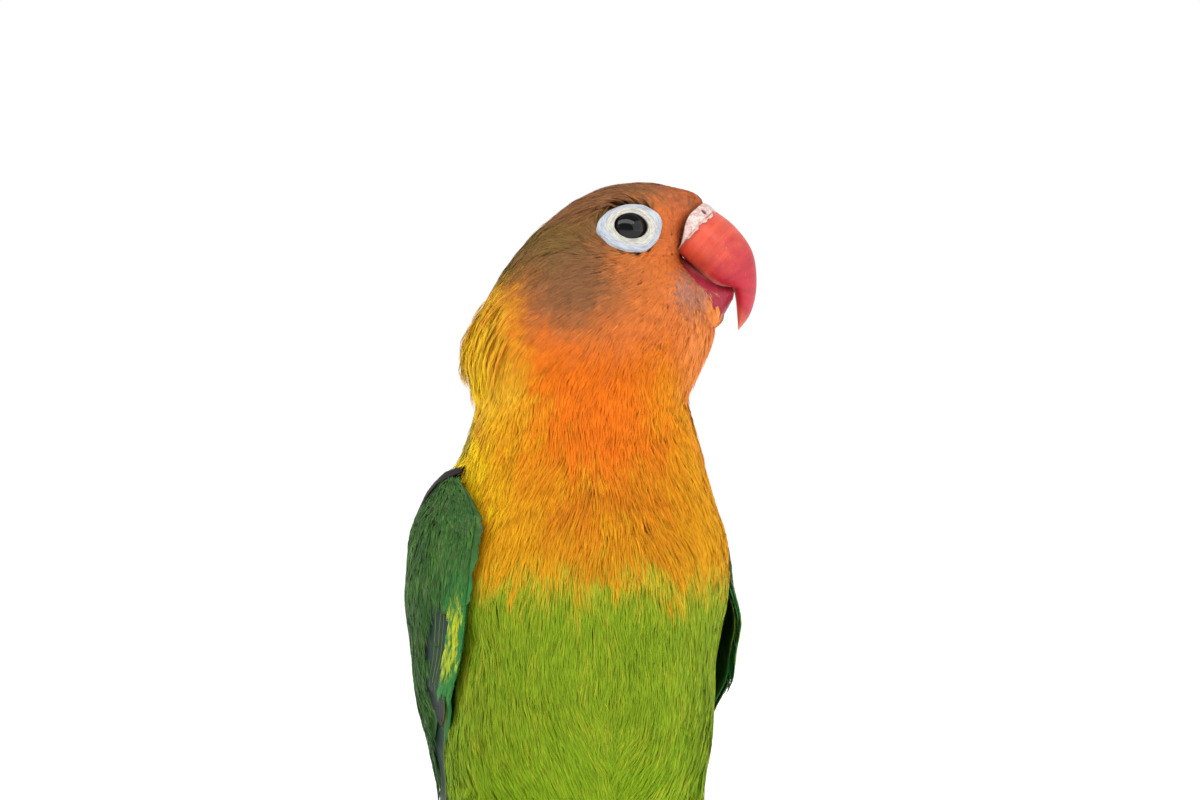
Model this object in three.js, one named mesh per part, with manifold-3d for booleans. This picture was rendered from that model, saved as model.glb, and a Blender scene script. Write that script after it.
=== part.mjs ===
// An orange-headed, white-ringed lovebird standing upright, life size, its head turned to its left.
// Millimetres, +Z up. The breast faces -Y, and the bird's left side is +X.
import * as THREE from "three";
import { mergeVertices } from "three/addons/utils/BufferGeometryUtils.js";
import Module from "manifold-3d";

const wasm = await Module();
wasm.setup();

const rad = THREE.MathUtils.degToRad;
const lerp = THREE.MathUtils.lerp;

// Driving sizes
const GAP = 0.3; // free space kept between pieces that touch
const SIMPLE = 0.05; // smallest detail kept where pieces are joined
const RING_SIDES = 32; // points round the body at each level
const HEAD_YAW = 72; // degrees that the head is turned to the bird's left
const NECK_BASE_Z = 86;
const HEAD_BASE_Z = 98;
const CERE_HALF = 5.8;
const EYE_RADIUS = 3.1;
const EYE_AHEAD = 7.3;
const EYE_Z = 115.5;
const EYE_SUNK = 2.6; // depth of the eyeball's centre under the ring's outer face
const RING_OUTER = 4.6;
const RING_INNER = 2.25;
const RING_PROUD = 0.35;
const RING_DEPTH = 1.1;
const RING_HEIGHT = 0.8; // height of the ring over its length
const WING_TOP_Z = 81;
const WING_TIP_Z = 17;
const VANE_SHINGLE = 0.35; // rise of a vane's open edge over the neighbour that it covers
const VANE_DIVE = 0.75; // how much deeper a wing feather lies at its root than at its tip
const LOWEST_VANE = 0.2; // height of the deepest wing feathers over the wing's inner face
const WING_GAP = 0.8; // free space under the closed wing
const TAIL_LENGTH = 44;
const TAIL_DROP = 40; // degrees below the horizon
const TAIL_PAIRS = 6;
const TAIL_STEP = 0.3; // drop from one tail feather to the next one out
const TAIL_CAMBER = 0.02;
const TAIL_ROOT = new THREE.Vector3(0, 21, 31);
const FOOT = new THREE.Vector3(9.5, 0.5, 1.8);
const ANKLE = new THREE.Vector3(9.5, 8, 13.5);
const THIGH_RADII = [3, 8.6, 6.6, 2.3];
const SHANK_RADII = [1.5, 1.3, 1.6];
const TOE_RADII = [1.6, 1.35, 1.15];
const CLAW_RADII = [0.85, 0.7, 0.15];

// Levels of the bird from the vent to the crown: height, middle (y, then how far it leads towards
// the face), reach to the front and back of it, half width, and its turn to the bird's left.
const LEVELS = [
  { name: "vent", z: 16.6, y: 8, lead: 0, front: 0, back: 0, half: 0, yaw: 0 },
  { name: "under_tail", z: 17.2, y: 8, lead: 0, front: 6, back: 8, half: 6, yaw: 0 },
  { name: "low_belly", z: 20, y: 7, lead: 0, front: 12, back: 14, half: 11, yaw: 0 },
  { name: "legs", z: 26, y: 5, lead: 0, front: 17, back: 20.5, half: 15.6, yaw: 0 },
  { name: "rump", z: 34, y: 3, lead: 0, front: 21, back: 23.5, half: 18.4, yaw: 0 },
  { name: "belly", z: 44, y: 1, lead: 0, front: 22.6, back: 23.5, half: 19.8, yaw: 0 },
  { name: "flank", z: 54, y: 0, lead: 0, front: 23, back: 23, half: 19.9, yaw: 0 },
  { name: "breast", z: 64, y: -0.5, lead: 0, front: 22.6, back: 21.6, half: 21.8, yaw: 0 },
  { name: "crop", z: 71, y: -1, lead: 0, front: 20.8, back: 20, half: 21.6, yaw: 0 },
  { name: "shoulder", z: 78, y: -1, lead: 0, front: 18.2, back: 17.8, half: 19.3, yaw: 0 },
  { name: "collar", z: 85, y: -1, lead: 0, front: 16.2, back: 16, half: 17.2, yaw: 12 },
  { name: "neck", z: 91, y: -1, lead: 0, front: 15.6, back: 15.8, half: 15.3, yaw: 45 },
  { name: "nape", z: 96, y: -1, lead: 0, front: 17.1, back: 17.2, half: 14.6, yaw: HEAD_YAW },
  { name: "throat", z: 100.5, y: -1, lead: 0, front: 18.7, back: 16.5, half: 14, yaw: HEAD_YAW },
  { name: "chin", z: 104.5, y: -1, lead: 0, front: 18.4, back: 14.7, half: 13.5, yaw: HEAD_YAW },
  { name: "jaw", z: 108, y: -1, lead: 0, front: 17.4, back: 12.7, half: 12.9, yaw: HEAD_YAW },
  { name: "gape", z: 111.5, y: -1, lead: 0, front: 14.2, back: 10.3, half: 12, yaw: HEAD_YAW },
  { name: "lore", z: 114.5, y: -1, lead: 0, front: 15.2, back: 7.7, half: 10.8, yaw: HEAD_YAW },
  { name: "brow", z: 117, y: -1, lead: 2, front: 15.1, back: 6.4, half: 9.3, yaw: HEAD_YAW },
  { name: "forehead", z: 119.4, y: -1, lead: 5, front: 12.4, back: 6.1, half: 7, yaw: HEAD_YAW },
  { name: "top", z: 121.2, y: -1, lead: 8, front: 6.8, back: 5.3, half: 4.2, yaw: HEAD_YAW },
  { name: "crown", z: 122, y: -1, lead: 8.6, front: 0, back: 0, half: 0, yaw: HEAD_YAW },
];
const TOP = LEVELS.length - 1;

// Bill profiles in the head's middle plane: how far ahead of the neck's middle, and how high.
const CULMEN = [[18.6, 118], [21.4, 115.8], [23.9, 112.2], [24.5, 107.6], [23.7, 103.6], [21.9, 101]];
const CUTTING_EDGE = [
  [13.2, 112.2],
  [16.2, 109.3],
  [18.9, 107.2],
  [20.9, 107.1],
  [21.9, 104.8],
  [21.8, 101.1],
];
const BILL_HALF_WIDTHS = [5.4, 5.1, 4.4, 3.4, 2.1, 0.5];
const MANDIBLE_TOP = [[12.6, 111.4], [17.8, 107.8], [21.3, 106.3]];
const MANDIBLE_BOTTOM = [[13.5, 101.2], [18.4, 101.7], [21.1, 105.4]];
const MANDIBLE_HALF_WIDTHS = [4.3, 3.4, 1.5];

// The folded wing's edges by height, in degrees round the body from the breast, and its thickness.
// The bird's left wing is tucked further back, under the feathers of its breast.
const WING_ROWS = [
  { z: 17, left: 162, right: 162, back: 175, thick: 1.3 },
  { z: 25, left: 142, right: 133, back: 174, thick: 1.2 },
  { z: 33, left: 119, right: 102, back: 173, thick: 1.1 },
  { z: 41, left: 107, right: 83, back: 171, thick: 1.4 },
  { z: 49, left: 93, right: 72, back: 169, thick: 3.1 },
  { z: 55, left: 87, right: 62, back: 166, thick: 3.7 },
  { z: 65, left: 101, right: 54, back: 160, thick: 2.9 },
  { z: 73, left: 108, right: 54, back: 152, thick: 2.7 },
  { z: 77, left: 111, right: 62, back: 146, thick: 2.4 },
  { z: 81, left: 114, right: 76, back: 140, thick: 1.5 },
];

// Below the body the folded wings run out over the tail on a bed of their own.
const TAIL_BED = [
  { z: 4, y: 14, front: 14, back: 41.5, half: 44 },
  { z: 12, y: 10, front: 16, back: 37.6, half: 36 },
  { z: 20, y: 6, front: 19, back: 33.2, half: 27 },
  { z: 28, y: 4.3, front: 20.5, back: 28.6, half: 20.4 },
  { z: 36, y: 2.7, front: 22.2, back: 25.6, half: 19.4 },
  { z: 44, y: 1, front: 23.2, back: 24.2, half: 20.4 },
];
const LEAVE_BODY_Z = 42;

// Outlines of a covert and of a quill: share of the length, share of the half width, thickness.
const COVERT_ROWS = [[0, 0.8, 0.85], [0.74, 1, 0.85], [1, 0.32, 0.8]];
const QUILL_ROWS = [[0, 0.7, 0.85], [0.4, 1, 0.8], [0.8, 0.8, 0.7], [1, 0.15, 0.5]];

// Tiers of the folded wing from the deepest to the topmost. Across and down are shares of the wing,
// given for a tier's front feather and its back one, and half is a feather's half width across.
const WING_TIERS = [
  {
    name: "primaries",
    count: 7,
    half: 0.16,
    root: [0.13, 0.7],
    tip: [0.3, 0.84],
    from: 0.5,
    to: [1, 0.78],
  },
  {
    name: "primary coverts",
    count: 3,
    half: 0.065,
    root: [0.05, 0.2],
    tip: [0.07, 0.24],
    from: 0.26,
    to: [0.58, 0.5],
  },
  {
    name: "secondaries",
    count: 7,
    half: 0.095,
    root: [0.13, 0.9],
    tip: [0.21, 0.92],
    from: 0.38,
    to: [0.6, 0.75],
  },
  {
    name: "greater coverts",
    count: 7,
    half: 0.1,
    root: [0.12, 0.92],
    tip: [0.14, 0.93],
    from: 0.3,
    to: [0.47, 0.53],
  },
  {
    name: "median coverts",
    count: 6,
    half: 0.115,
    root: [0.1, 0.92],
    tip: [0.1, 0.93],
    from: 0.2,
    to: [0.35, 0.37],
  },
  {
    name: "lesser coverts",
    count: 6,
    half: 0.115,
    root: [0.08, 0.9],
    tip: [0.08, 0.92],
    from: 0.1,
    to: [0.24, 0.25],
  },
  {
    name: "shoulder",
    count: 4,
    half: 0.16,
    root: [0.14, 0.85],
    tip: [0.12, 0.87],
    from: 0.02,
    to: [0.13, 0.14],
  },
];

// Two toes point forward and two back: degrees from straight ahead, outwards, and length.
const TOES = [
  { word: "inner_front", turn: -20, length: 11 },
  { word: "outer_front", turn: 14, length: 15 },
  { word: "outer_back", turn: 145, length: 13 },
  { word: "inner_back", turn: -158, length: 8.5 },
];

const SIDES = [
  { word: "left", sign: 1 },
  { word: "right", sign: -1 },
];

const FINISH = {
  orange: { color: 0xf07a1e, roughness: 0.9 },
  green: { color: 0x7ca81e, roughness: 0.9 },
  wing: { color: 0x2f6b32, roughness: 0.8 },
  tail: { color: 0x4a8a2c, roughness: 0.8 },
  bill: { color: 0xd8364a, roughness: 0.35 },
  cere: { color: 0xf2e8e4, roughness: 0.6 },
  eye_ring: { color: 0xe6e8ec, roughness: 0.6 },
  eye: { color: 0x17141a, roughness: 0.05 },
  foot: { color: 0x9a8f8c, roughness: 0.7 },
  claw: { color: 0x4a4442, roughness: 0.4 },
};

const span = (count, each) => Array.from({ length: count + 1 }, (_, i) => each(i / count));
const round = (count, each) => Array.from({ length: count }, (_, i) => each((i / count) * 2 * Math.PI));

// Smooth value of one field at a place between the rows of a table, without overshoot.
function between(rows, field, place) {
  const value = (i) => rows[i][field];
  const last = rows.length - 1;
  const at = Math.min(Math.max(place, 0), last);
  const i = Math.min(Math.floor(at), last - 1);
  const step = (k) => value(k + 1) - value(k);
  const slope = (k) => {
    if (k === 0) return step(0);
    if (k === last) return step(last - 1);
    const [a, b] = [step(k - 1), step(k)];
    return a * b <= 0 ? 0 : (2 * a * b) / (a + b);
  };
  const t = at - i;
  const [p, q, m, n] = [value(i), value(i + 1), slope(i), slope(i + 1)];
  const [t2, t3] = [t * t, t * t * t];
  return p * (2 * t3 - 3 * t2 + 1) + q * (3 * t2 - 2 * t3) + m * (t3 - 2 * t2 + t) + n * (t3 - t2);
}

// The place between the rows of a table at which a height is reached.
function placeIn(rows, z) {
  let [low, high] = [0, rows.length - 1];
  for (let i = 0; i < 30; i++) {
    const middle = (low + high) / 2;
    if (between(rows, "z", middle) < z) low = middle;
    else high = middle;
  }
  return (low + high) / 2;
}

// A point on an oval with different reaches to its front and back, at an angle from its front.
function ovalRadius(angle, front, back, half) {
  if (half < 1e-6) return 0;
  const reach = Math.cos(angle) >= 0 ? front : back;
  return 1 / Math.hypot(Math.cos(angle) / reach, Math.sin(angle) / half);
}

// A point of the bird's outline at a place in LEVELS, at an angle round it from the breast towards
// the bird's left, grown by some millimetres.
function skinPoint(place, angle, grow = 0) {
  const read = (field) => between(LEVELS, field, place);
  const yaw = rad(read("yaw"));
  const radius = ovalRadius(angle - yaw, read("front") + grow, read("back") + grow, read("half") + grow);
  return new THREE.Vector3(
    Math.sin(yaw) * read("lead") + Math.sin(angle) * radius,
    read("y") - Math.cos(yaw) * read("lead") - Math.cos(angle) * radius,
    read("z"),
  );
}

function geometryFrom(positions, index) {
  const made = new THREE.BufferGeometry();
  made.setAttribute("position", new THREE.Float32BufferAttribute(positions, 3));
  made.setIndex(index);
  return made;
}

// A three.js geometry as a solid, turned outwards if its faces point in.
function solid(geometry) {
  const bare = geometry.clone();
  bare.deleteAttribute("normal");
  bare.deleteAttribute("uv");
  const merged = mergeVertices(bare, 1e-4);
  const corners = Array.from(merged.index.array);
  const kept = [];
  for (let i = 0; i < corners.length; i += 3) {
    const [a, b, c] = corners.slice(i, i + 3);
    if (a !== b && b !== c && a !== c) kept.push(a, b, c);
  }
  const build = (order) =>
    new wasm.Manifold(
      new wasm.Mesh({
        numProp: 3,
        vertProperties: new Float32Array(merged.attributes.position.array),
        triVerts: new Uint32Array(order),
      }),
    );
  const made = build(kept);
  return made.volume() < 0 ? build(kept.slice().reverse()) : made;
}

const fuse = (solids) => solids.reduce((sum, next) => sum.add(next));

// The largest closed surface of a solid, which drops loose scraps.
const largest = (made) => made.decompose().reduce((a, b) => (b.volume() > a.volume() ? b : a));

function geometryOf(made) {
  const { vertProperties, triVerts, numProp } = made.getMesh();
  const positions = [];
  for (let i = 0; i < vertProperties.length; i += numProp) {
    positions.push(...vertProperties.subarray(i, i + 3));
  }
  const geometry = geometryFrom(positions, Array.from(triVerts));
  geometry.computeVertexNormals();
  return geometry;
}

// A closed mesh from rings of points, with a fan at each end.
function loft(rings) {
  const sides = rings[0].length;
  const centre = (ring) => ring.reduce((sum, p) => sum.add(p), new THREE.Vector3()).divideScalar(sides);
  const points = [...rings.flat(), centre(rings[0]), centre(rings.at(-1))];
  const [low, high] = [points.length - 2, points.length - 1];
  const end = (rings.length - 1) * sides;
  const index = [];
  for (let i = 0; i < sides; i++) {
    const next = (i + 1) % sides;
    for (let k = 0; k + 1 < rings.length; k++) {
      const [a, b] = [k * sides + i, k * sides + next];
      index.push(a, b, b + sides, a, b + sides, a + sides);
    }
    index.push(low, next, i, high, end + i, end + next);
  }
  return geometryFrom(points.flatMap((p) => p.toArray()), index);
}

// A solid between an outer and an inner grid of points, with both faces split alike.
function plate(outer, inner) {
  const [rows, columns] = [outer.length, outer[0].length];
  const positions = [...outer.flat(), ...inner.flat()].flatMap((p) => p.toArray());
  const under = rows * columns;
  const index = [];
  for (let i = 0; i + 1 < rows; i++)
    for (let j = 0; j + 1 < columns; j++) {
      const a = i * columns + j;
      const [b, c, d] = [a + columns, a + columns + 1, a + 1];
      index.push(a, b, c, a, c, d);
      index.push(under + c, under + b, under + a, under + d, under + c, under + a);
    }
  const rim = [];
  for (let j = 0; j < columns - 1; j++) rim.push(j);
  for (let i = 0; i < rows - 1; i++) rim.push(i * columns + columns - 1);
  for (let j = columns - 1; j > 0; j--) rim.push((rows - 1) * columns + j);
  for (let i = rows - 1; i > 0; i--) rim.push(i * columns);
  rim.forEach((a, k) => {
    const b = rim[(k + 1) % rim.length];
    index.push(a, b, under + b, a, under + b, under + a);
  });
  return solid(geometryFrom(positions, index));
}

// A round tube along a curve, with its radius given at even shares of the length.
function taper(curve, radii, steps, sides, flat = 1) {
  const rows = radii.map((radius) => ({ radius }));
  const frames = curve.computeFrenetFrames(steps);
  const rings = span(steps, (t) => {
    const radius = between(rows, "radius", t * (rows.length - 1));
    const step = Math.round(t * steps);
    return round(sides, (angle) =>
      curve
        .getPoint(t)
        .addScaledVector(frames.normals[step], radius * flat * Math.cos(angle))
        .addScaledVector(frames.binormals[step], radius * Math.sin(angle)),
    );
  });
  return solid(loft(rings));
}

// The body between two places in LEVELS.
const placeAt = (z) => placeIn(LEVELS, z);
const bodySpan = (from, to, steps, grow = 0) =>
  solid(loft(span(steps, (t) => round(RING_SIDES, (angle) => skinPoint(lerp(from, to, t), angle, grow)))));
const headGrown = bodySpan(placeAt(HEAD_BASE_Z), TOP, 14, GAP);
const torsoGrown = bodySpan(0, placeAt(NECK_BASE_Z), 18, GAP);

// The head's own directions: ahead along the bill, and to its left.
const AHEAD = new THREE.Vector3(Math.sin(rad(HEAD_YAW)), -Math.cos(rad(HEAD_YAW)), 0);
const LEFTWARD = new THREE.Vector3(Math.cos(rad(HEAD_YAW)), Math.sin(rad(HEAD_YAW)), 0);
const headPoint = (ahead, z, aside = 0) =>
  new THREE.Vector3(0, -1, z).addScaledVector(AHEAD, ahead).addScaledVector(LEFTWARD, aside);

// A horn sheath between an upper and a lower profile. A share of its length below 0 runs back
// past its root, level with it.
function sheath(upper, lower, halfWidths, from, to, steps, grow = 0) {
  const [top, low] = [upper, lower].map(
    (points) => new THREE.SplineCurve(points.map((p) => new THREE.Vector2(...p))),
  );
  const widths = halfWidths.map((half) => ({ half }));
  const rootWay = new THREE.Vector2(-14, 9.8);
  const rings = span(steps, (s) => {
    const t = lerp(from, to, s);
    const inside = Math.min(Math.max(t, 0), 1);
    const behind = rootWay.clone().multiplyScalar(Math.max(-t, 0));
    const [over, under] = [top.getPoint(inside).add(behind), low.getPoint(inside).add(behind)];
    const half = between(widths, "half", inside * (widths.length - 1)) + grow;
    const middle = over.clone().add(under).divideScalar(2);
    const arm = over.clone().sub(middle);
    arm.setLength(arm.length() + grow);
    return round(14, (angle) => {
      const lift = Math.cos(angle);
      const fullness = 1 - 0.22 * Math.max(lift, 0) ** 2;
      return headPoint(middle.x + arm.x * lift, middle.y + arm.y * lift, half * fullness * Math.sin(angle));
    });
  });
  return solid(loft(rings));
}

const upperSheath = (grow) => sheath(CULMEN, CUTTING_EDGE, BILL_HALF_WIDTHS, 0, 1, 11, grow);
const billGrown = upperSheath(GAP);

function makeLowerBill() {
  const horn = sheath(MANDIBLE_TOP, MANDIBLE_BOTTOM, MANDIBLE_HALF_WIDTHS, 0, 1, 6);
  return largest(horn.subtract(headGrown).subtract(billGrown));
}

// The white cere is a swollen band behind the horn, with a nostril on each side.
function makeCere() {
  const band = sheath(CULMEN, CUTTING_EDGE, [CERE_HALF, CERE_HALF], -0.19, -0.017, 3);
  const nostrils = SIDES.map(({ sign }) => {
    const hole = new THREE.SphereGeometry(0.55, 8, 6);
    return solid(hole.translate(...headPoint(17.1, 117.6, sign * 3.1).toArray()));
  });
  return largest(band.subtract(headGrown).subtract(billGrown).subtract(fuse(nostrils)));
}

// Where an eye sits on the side of the head, and the way that it looks.
function eyeSeat(sign) {
  const place = placeAt(EYE_Z);
  const angles = span(180, (share) => rad(HEAD_YAW + sign * 180 * share));
  const miss = (angle) =>
    Math.abs(skinPoint(place, angle).sub(headPoint(0, EYE_Z)).dot(AHEAD) - EYE_AHEAD);
  const angle = angles.reduce((a, b) => (miss(b) < miss(a) ? b : a));
  const centre = skinPoint(place, angle);
  const along = skinPoint(place, angle + 0.05).sub(centre);
  const rise = skinPoint(place + 0.1, angle).sub(skinPoint(place - 0.1, angle));
  return { centre, normal: along.cross(rise).normalize() };
}

// A turned profile set on the head round the eye's axis, longer than it is high.
function onEye(seat, profile) {
  const turned = new THREE.LatheGeometry(profile.map((p) => new THREE.Vector2(...p)), 16);
  const along = AHEAD.clone().addScaledVector(seat.normal, -AHEAD.dot(seat.normal)).normalize();
  const upward = new THREE.Vector3().crossVectors(along, seat.normal).multiplyScalar(RING_HEIGHT);
  turned.applyMatrix4(new THREE.Matrix4().makeBasis(along, seat.normal, upward).setPosition(seat.centre));
  return solid(turned);
}

// The bare ring, with the lids as its raised inner edge.
const RING_PROFILE = [
  [RING_INNER, -RING_DEPTH],
  [RING_OUTER, -RING_DEPTH],
  [RING_OUTER, 0.05],
  [RING_OUTER - 0.8, RING_PROUD],
  [RING_INNER + 0.75, RING_PROUD - 0.1],
  [RING_INNER + 0.35, RING_PROUD + 0.2],
  [RING_INNER, RING_PROUD - 0.05],
  [RING_INNER, -RING_DEPTH],
];
const SOCKET_PROFILE = [
  [0, -RING_DEPTH - GAP],
  [RING_OUTER + GAP, -RING_DEPTH - GAP],
  [RING_OUTER + GAP, 4],
  [0, 4],
];

const eyeball = (grow = 0) => new THREE.SphereGeometry(EYE_RADIUS + grow, 12, 9);

function makeEye(sign) {
  const seat = eyeSeat(sign);
  const centre = seat.centre.clone().addScaledVector(seat.normal, RING_PROUD - EYE_SUNK);
  const room = solid(eyeball(GAP).translate(...centre.toArray()));
  return {
    centre,
    ring: largest(onEye(seat, RING_PROFILE).subtract(room)),
    socket: room.add(onEye(seat, SOCKET_PROFILE)),
  };
}

// The surface under the folded wings: the body's, then out over the tail.
function bedPoint(sign, angle, z, height) {
  const point = skinPoint(placeAt(z), sign * angle, WING_GAP + height);
  const leave = THREE.MathUtils.smoothstep(LEAVE_BODY_Z - z, 0, 16);
  if (leave === 0) return point;
  const read = (field) => between(TAIL_BED, field, placeIn(TAIL_BED, z));
  const radius = ovalRadius(angle, read("front") + height, read("back") + height, read("half") + height);
  const away = new THREE.Vector3(sign * radius * Math.sin(angle), read("y") - radius * Math.cos(angle), z);
  return point.lerp(away, leave);
}

const wingZ = (down) => lerp(WING_TOP_Z, WING_TIP_Z, down);
const wingRead = (field, down) => between(WING_ROWS, field, placeIn(WING_ROWS, wingZ(down)));

// A place on the folded wing: across runs from its front edge to its back edge, down to its tip.
function wingPoint(wing, across, down, height) {
  const angle = rad(lerp(wingRead(wing.word, down), wingRead("back", down), across));
  return bedPoint(wing.sign, angle, wingZ(down), height);
}

// Thickness of the closed wing, less along its edges.
function wingThickness(across, down) {
  const front = Math.min(1, 0.35 + 3.5 * across);
  const back = Math.min(1, 0.45 + 3.5 * (1 - across));
  return Math.max(0.8, wingRead("thick", down) * front * back);
}

// One feather, a thin blade. Place gives the point at a share of its length, a shift to the side and
// a height, and height gives the level of its outer face.
function vane(place, half, rows, height) {
  const sheet = (outer) =>
    rows.map(([s, share, thick]) =>
      [-1, 0, 1].map((v) => place(s, v * half * share, height(s, v) - (outer ? 0 : thick))),
    );
  return plate(sheet(true), sheet(false));
}

function wingVane(wing, tier, i) {
  const share = i / (tier.count - 1);
  const [rootAcross, tipAcross] = [lerp(...tier.root, share), lerp(...tier.tip, share)];
  const tipDown = lerp(...tier.to, share ** 1.4);
  const rows = tier.name === "primaries" ? QUILL_ROWS : COVERT_ROWS;
  const across = (s, shift) => lerp(rootAcross, tipAcross, s) + shift;
  const down = (s) => lerp(tier.from, tipDown, s);
  const height = (s, v) => {
    const full = wingThickness(across(s, v * tier.half), down(s));
    const lowest = rows[0][2] + LOWEST_VANE + 0.04 * (i % 3);
    return Math.max(full - VANE_DIVE * (1 - s) - (VANE_SHINGLE * (v + 1)) / 2, lowest);
  };
  return vane((s, shift, h) => wingPoint(wing, across(s, shift), down(s), h), tier.half, rows, height);
}

// The wing's arm and flesh, under the feathers.
function wingCore(wing) {
  const sheet = (height) =>
    span(6, (s) =>
      span(5, (t) => {
        const [across, down] = [lerp(0.05, 0.95, t), lerp(0.015, 0.6, s)];
        return wingPoint(wing, across, down, height(across, down));
      }),
    );
  const outer = (across, down) => Math.max(wingThickness(across, down) - 1.0, LOWEST_VANE + 0.35);
  return plate(sheet(outer), sheet(() => 0));
}

function makeWing(wing) {
  const feathers = WING_TIERS.flatMap((tier) =>
    Array.from({ length: tier.count }, (_, i) => wingVane(wing, tier, i)),
  );
  return largest(fuse([wingCore(wing), ...feathers]).subtract(torsoGrown).simplify(SIMPLE));
}

// The tail's own directions: along it, to its side and up.
const tailAlong = new THREE.Vector3(0, Math.cos(rad(TAIL_DROP)), -Math.sin(rad(TAIL_DROP)));
const tailUp = new THREE.Vector3(0, Math.sin(rad(TAIL_DROP)), Math.cos(rad(TAIL_DROP)));
const tailPoint = (along, aside, up) =>
  TAIL_ROOT.clone().addScaledVector(tailAlong, along).addScaledVector(tailUp, up).setX(aside);

// A tail feather or covert, fanned from the root by some degrees, at a level over the tail's middle.
function tailVane(fan, from, to, half, level) {
  const place = (s, shift, up) => {
    const along = lerp(from, to, s);
    const aside = along * Math.sin(rad(fan)) + fan * 0.045 + shift;
    return tailPoint(along * Math.cos(rad(fan)), aside, up - TAIL_CAMBER * aside * aside);
  };
  const height = (s, v) => level - (TAIL_STEP * (Math.sign(fan) * v + 1)) / 2;
  return vane(place, half, QUILL_ROWS, height);
}

function makeTail() {
  const stem = new THREE.LineCurve3(tailPoint(-4, 0, 0), tailPoint(9, 0, 0));
  const pieces = [taper(stem, [6, 5.2, 3.6, 1.2], 4, 12, 0.42)];
  for (const { sign } of SIDES) {
    const under = sign > 0 ? 0.12 : 0;
    for (let i = 0; i < TAIL_PAIRS; i++) {
      const length = TAIL_LENGTH - 0.42 * i ** 1.9;
      pieces.push(tailVane(sign * (1.4 + 2.1 * i), 2, length, 2.9, 0.9 - TAIL_STEP * i - under));
    }
    for (let i = 0; i < 2; i++) {
      pieces.push(tailVane(sign * (3 + 9 * i), 1, 17 - 1.6 * i, 3.1, 2.3 - 0.35 * i - under));
      pieces.push(tailVane(sign * (3 + 9 * i), 1, 22 - 2 * i, 3.1, -1.5 + 0.35 * i - under));
    }
  }
  return largest(fuse(pieces).subtract(torsoGrown).simplify(SIMPLE));
}

// A leg has a feathered thigh, and a bare shank with four toes that end flat on the floor.
const mirrored = (point, sign) => new THREE.Vector3(sign * point.x, point.y, point.z);

function thighSolid(sign, grow = 0) {
  const points = [
    new THREE.Vector3(FOOT.x + 0.4, 0.5, 36),
    new THREE.Vector3(FOOT.x + 1, -3.6, 28.5),
    new THREE.Vector3(FOOT.x + 0.8, -0.5, 21),
    ANKLE,
  ];
  const curve = new THREE.CatmullRomCurve3(points.map((p) => mirrored(p, sign)));
  return taper(curve, THIGH_RADII.map((radius) => radius + grow), 7, 12);
}

const toeWay = (toe, sign) => new THREE.Vector3(sign * Math.sin(rad(toe.turn)), -Math.cos(rad(toe.turn)), 0);

function makeFoot(sign) {
  const sole = mirrored(FOOT, sign);
  const top = mirrored(ANKLE, sign).add(new THREE.Vector3(0, 0.4, -0.9));
  const pieces = [taper(new THREE.LineCurve3(top, sole), SHANK_RADII, 3, 8)];
  for (const toe of TOES) {
    const along = (distance, z) => sole.clone().addScaledVector(toeWay(toe, sign), distance).setZ(z);
    const points = [along(0, 1.3), along(toe.length * 0.45, 1.15), along(toe.length, 0.95)];
    pieces.push(taper(new THREE.CatmullRomCurve3(points), TOE_RADII, 4, 7));
  }
  const floor = solid(new THREE.BoxGeometry(60, 60, 10).translate(0, 0, -5));
  return largest(fuse(pieces).subtract(floor).subtract(thighSolid(sign, GAP)));
}

// A claw curves forward and down from its root, along +Y.
function makeClaw() {
  const points = [[0, 1.15], [1.8, 1.5], [4, 0.4]].map(([along, z]) => new THREE.Vector3(0, along, z));
  return taper(new THREE.CatmullRomCurve3(points), CLAW_RADII, 4, 6);
}

// The bird, with the head's pieces, wings, tail and legs in groups of their own.
const bird = new THREE.Group();
function branch(parent = bird) {
  const group = new THREE.Group();
  parent.add(group);
  return group;
}
function put(parent, name, made, finish) {
  const material = new THREE.MeshStandardMaterial({ metalness: 0, ...FINISH[finish] });
  const mesh = new THREE.Mesh(made.isBufferGeometry ? made : geometryOf(made), material);
  mesh.name = name;
  parent.add(mesh);
  return mesh;
}

const eyes = SIDES.map(({ word, sign }) => ({ word, ...makeEye(sign) }));
const sockets = fuse(eyes.map((eye) => eye.socket));
const headGroup = branch();
put(headGroup, "head", largest(bodySpan(placeAt(HEAD_BASE_Z), TOP, 14).subtract(sockets)), "orange");
put(headGroup, "bill_upper", largest(upperSheath(0).subtract(headGrown)), "bill");
put(headGroup, "bill_lower", makeLowerBill(), "bill");
put(headGroup, "cere", makeCere(), "cere");
for (const eye of eyes) {
  put(headGroup, "eye_ring_" + eye.word, eye.ring, "eye_ring");
  put(headGroup, "eye_" + eye.word, eyeball(), "eye").position.copy(eye.centre);
}

const bodyGroup = branch();
put(bodyGroup, "neck", bodySpan(placeAt(NECK_BASE_Z + GAP), placeAt(HEAD_BASE_Z - GAP), 5), "orange");
put(bodyGroup, "torso", bodySpan(0, placeAt(NECK_BASE_Z), 18), "green");
for (const side of SIDES) put(bodyGroup, "wing_" + side.word, makeWing(side), "wing");
put(bodyGroup, "tail", makeTail(), "tail");

for (const { word, sign } of SIDES) {
  const leg = branch();
  put(leg, "thigh_" + word, largest(thighSolid(sign).subtract(torsoGrown)), "green");
  put(leg, "foot_" + word, makeFoot(sign), "foot");
  for (const toe of TOES) {
    const way = toeWay(toe, sign);
    const claw = put(leg, `claw_${word}_${toe.word}`, makeClaw(), "claw");
    claw.position.copy(mirrored(FOOT, sign)).addScaledVector(way, toe.length + GAP).setZ(0);
    claw.rotation.z = Math.atan2(-way.x, way.y);
  }
}

// The origin is on the floor, under the middle of the whole bird.
const extent = new THREE.Box3().setFromObject(bird);
const middle = extent.getCenter(new THREE.Vector3());
bird.position.set(-middle.x, -middle.y, -extent.min.z);

export default bird;
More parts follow.
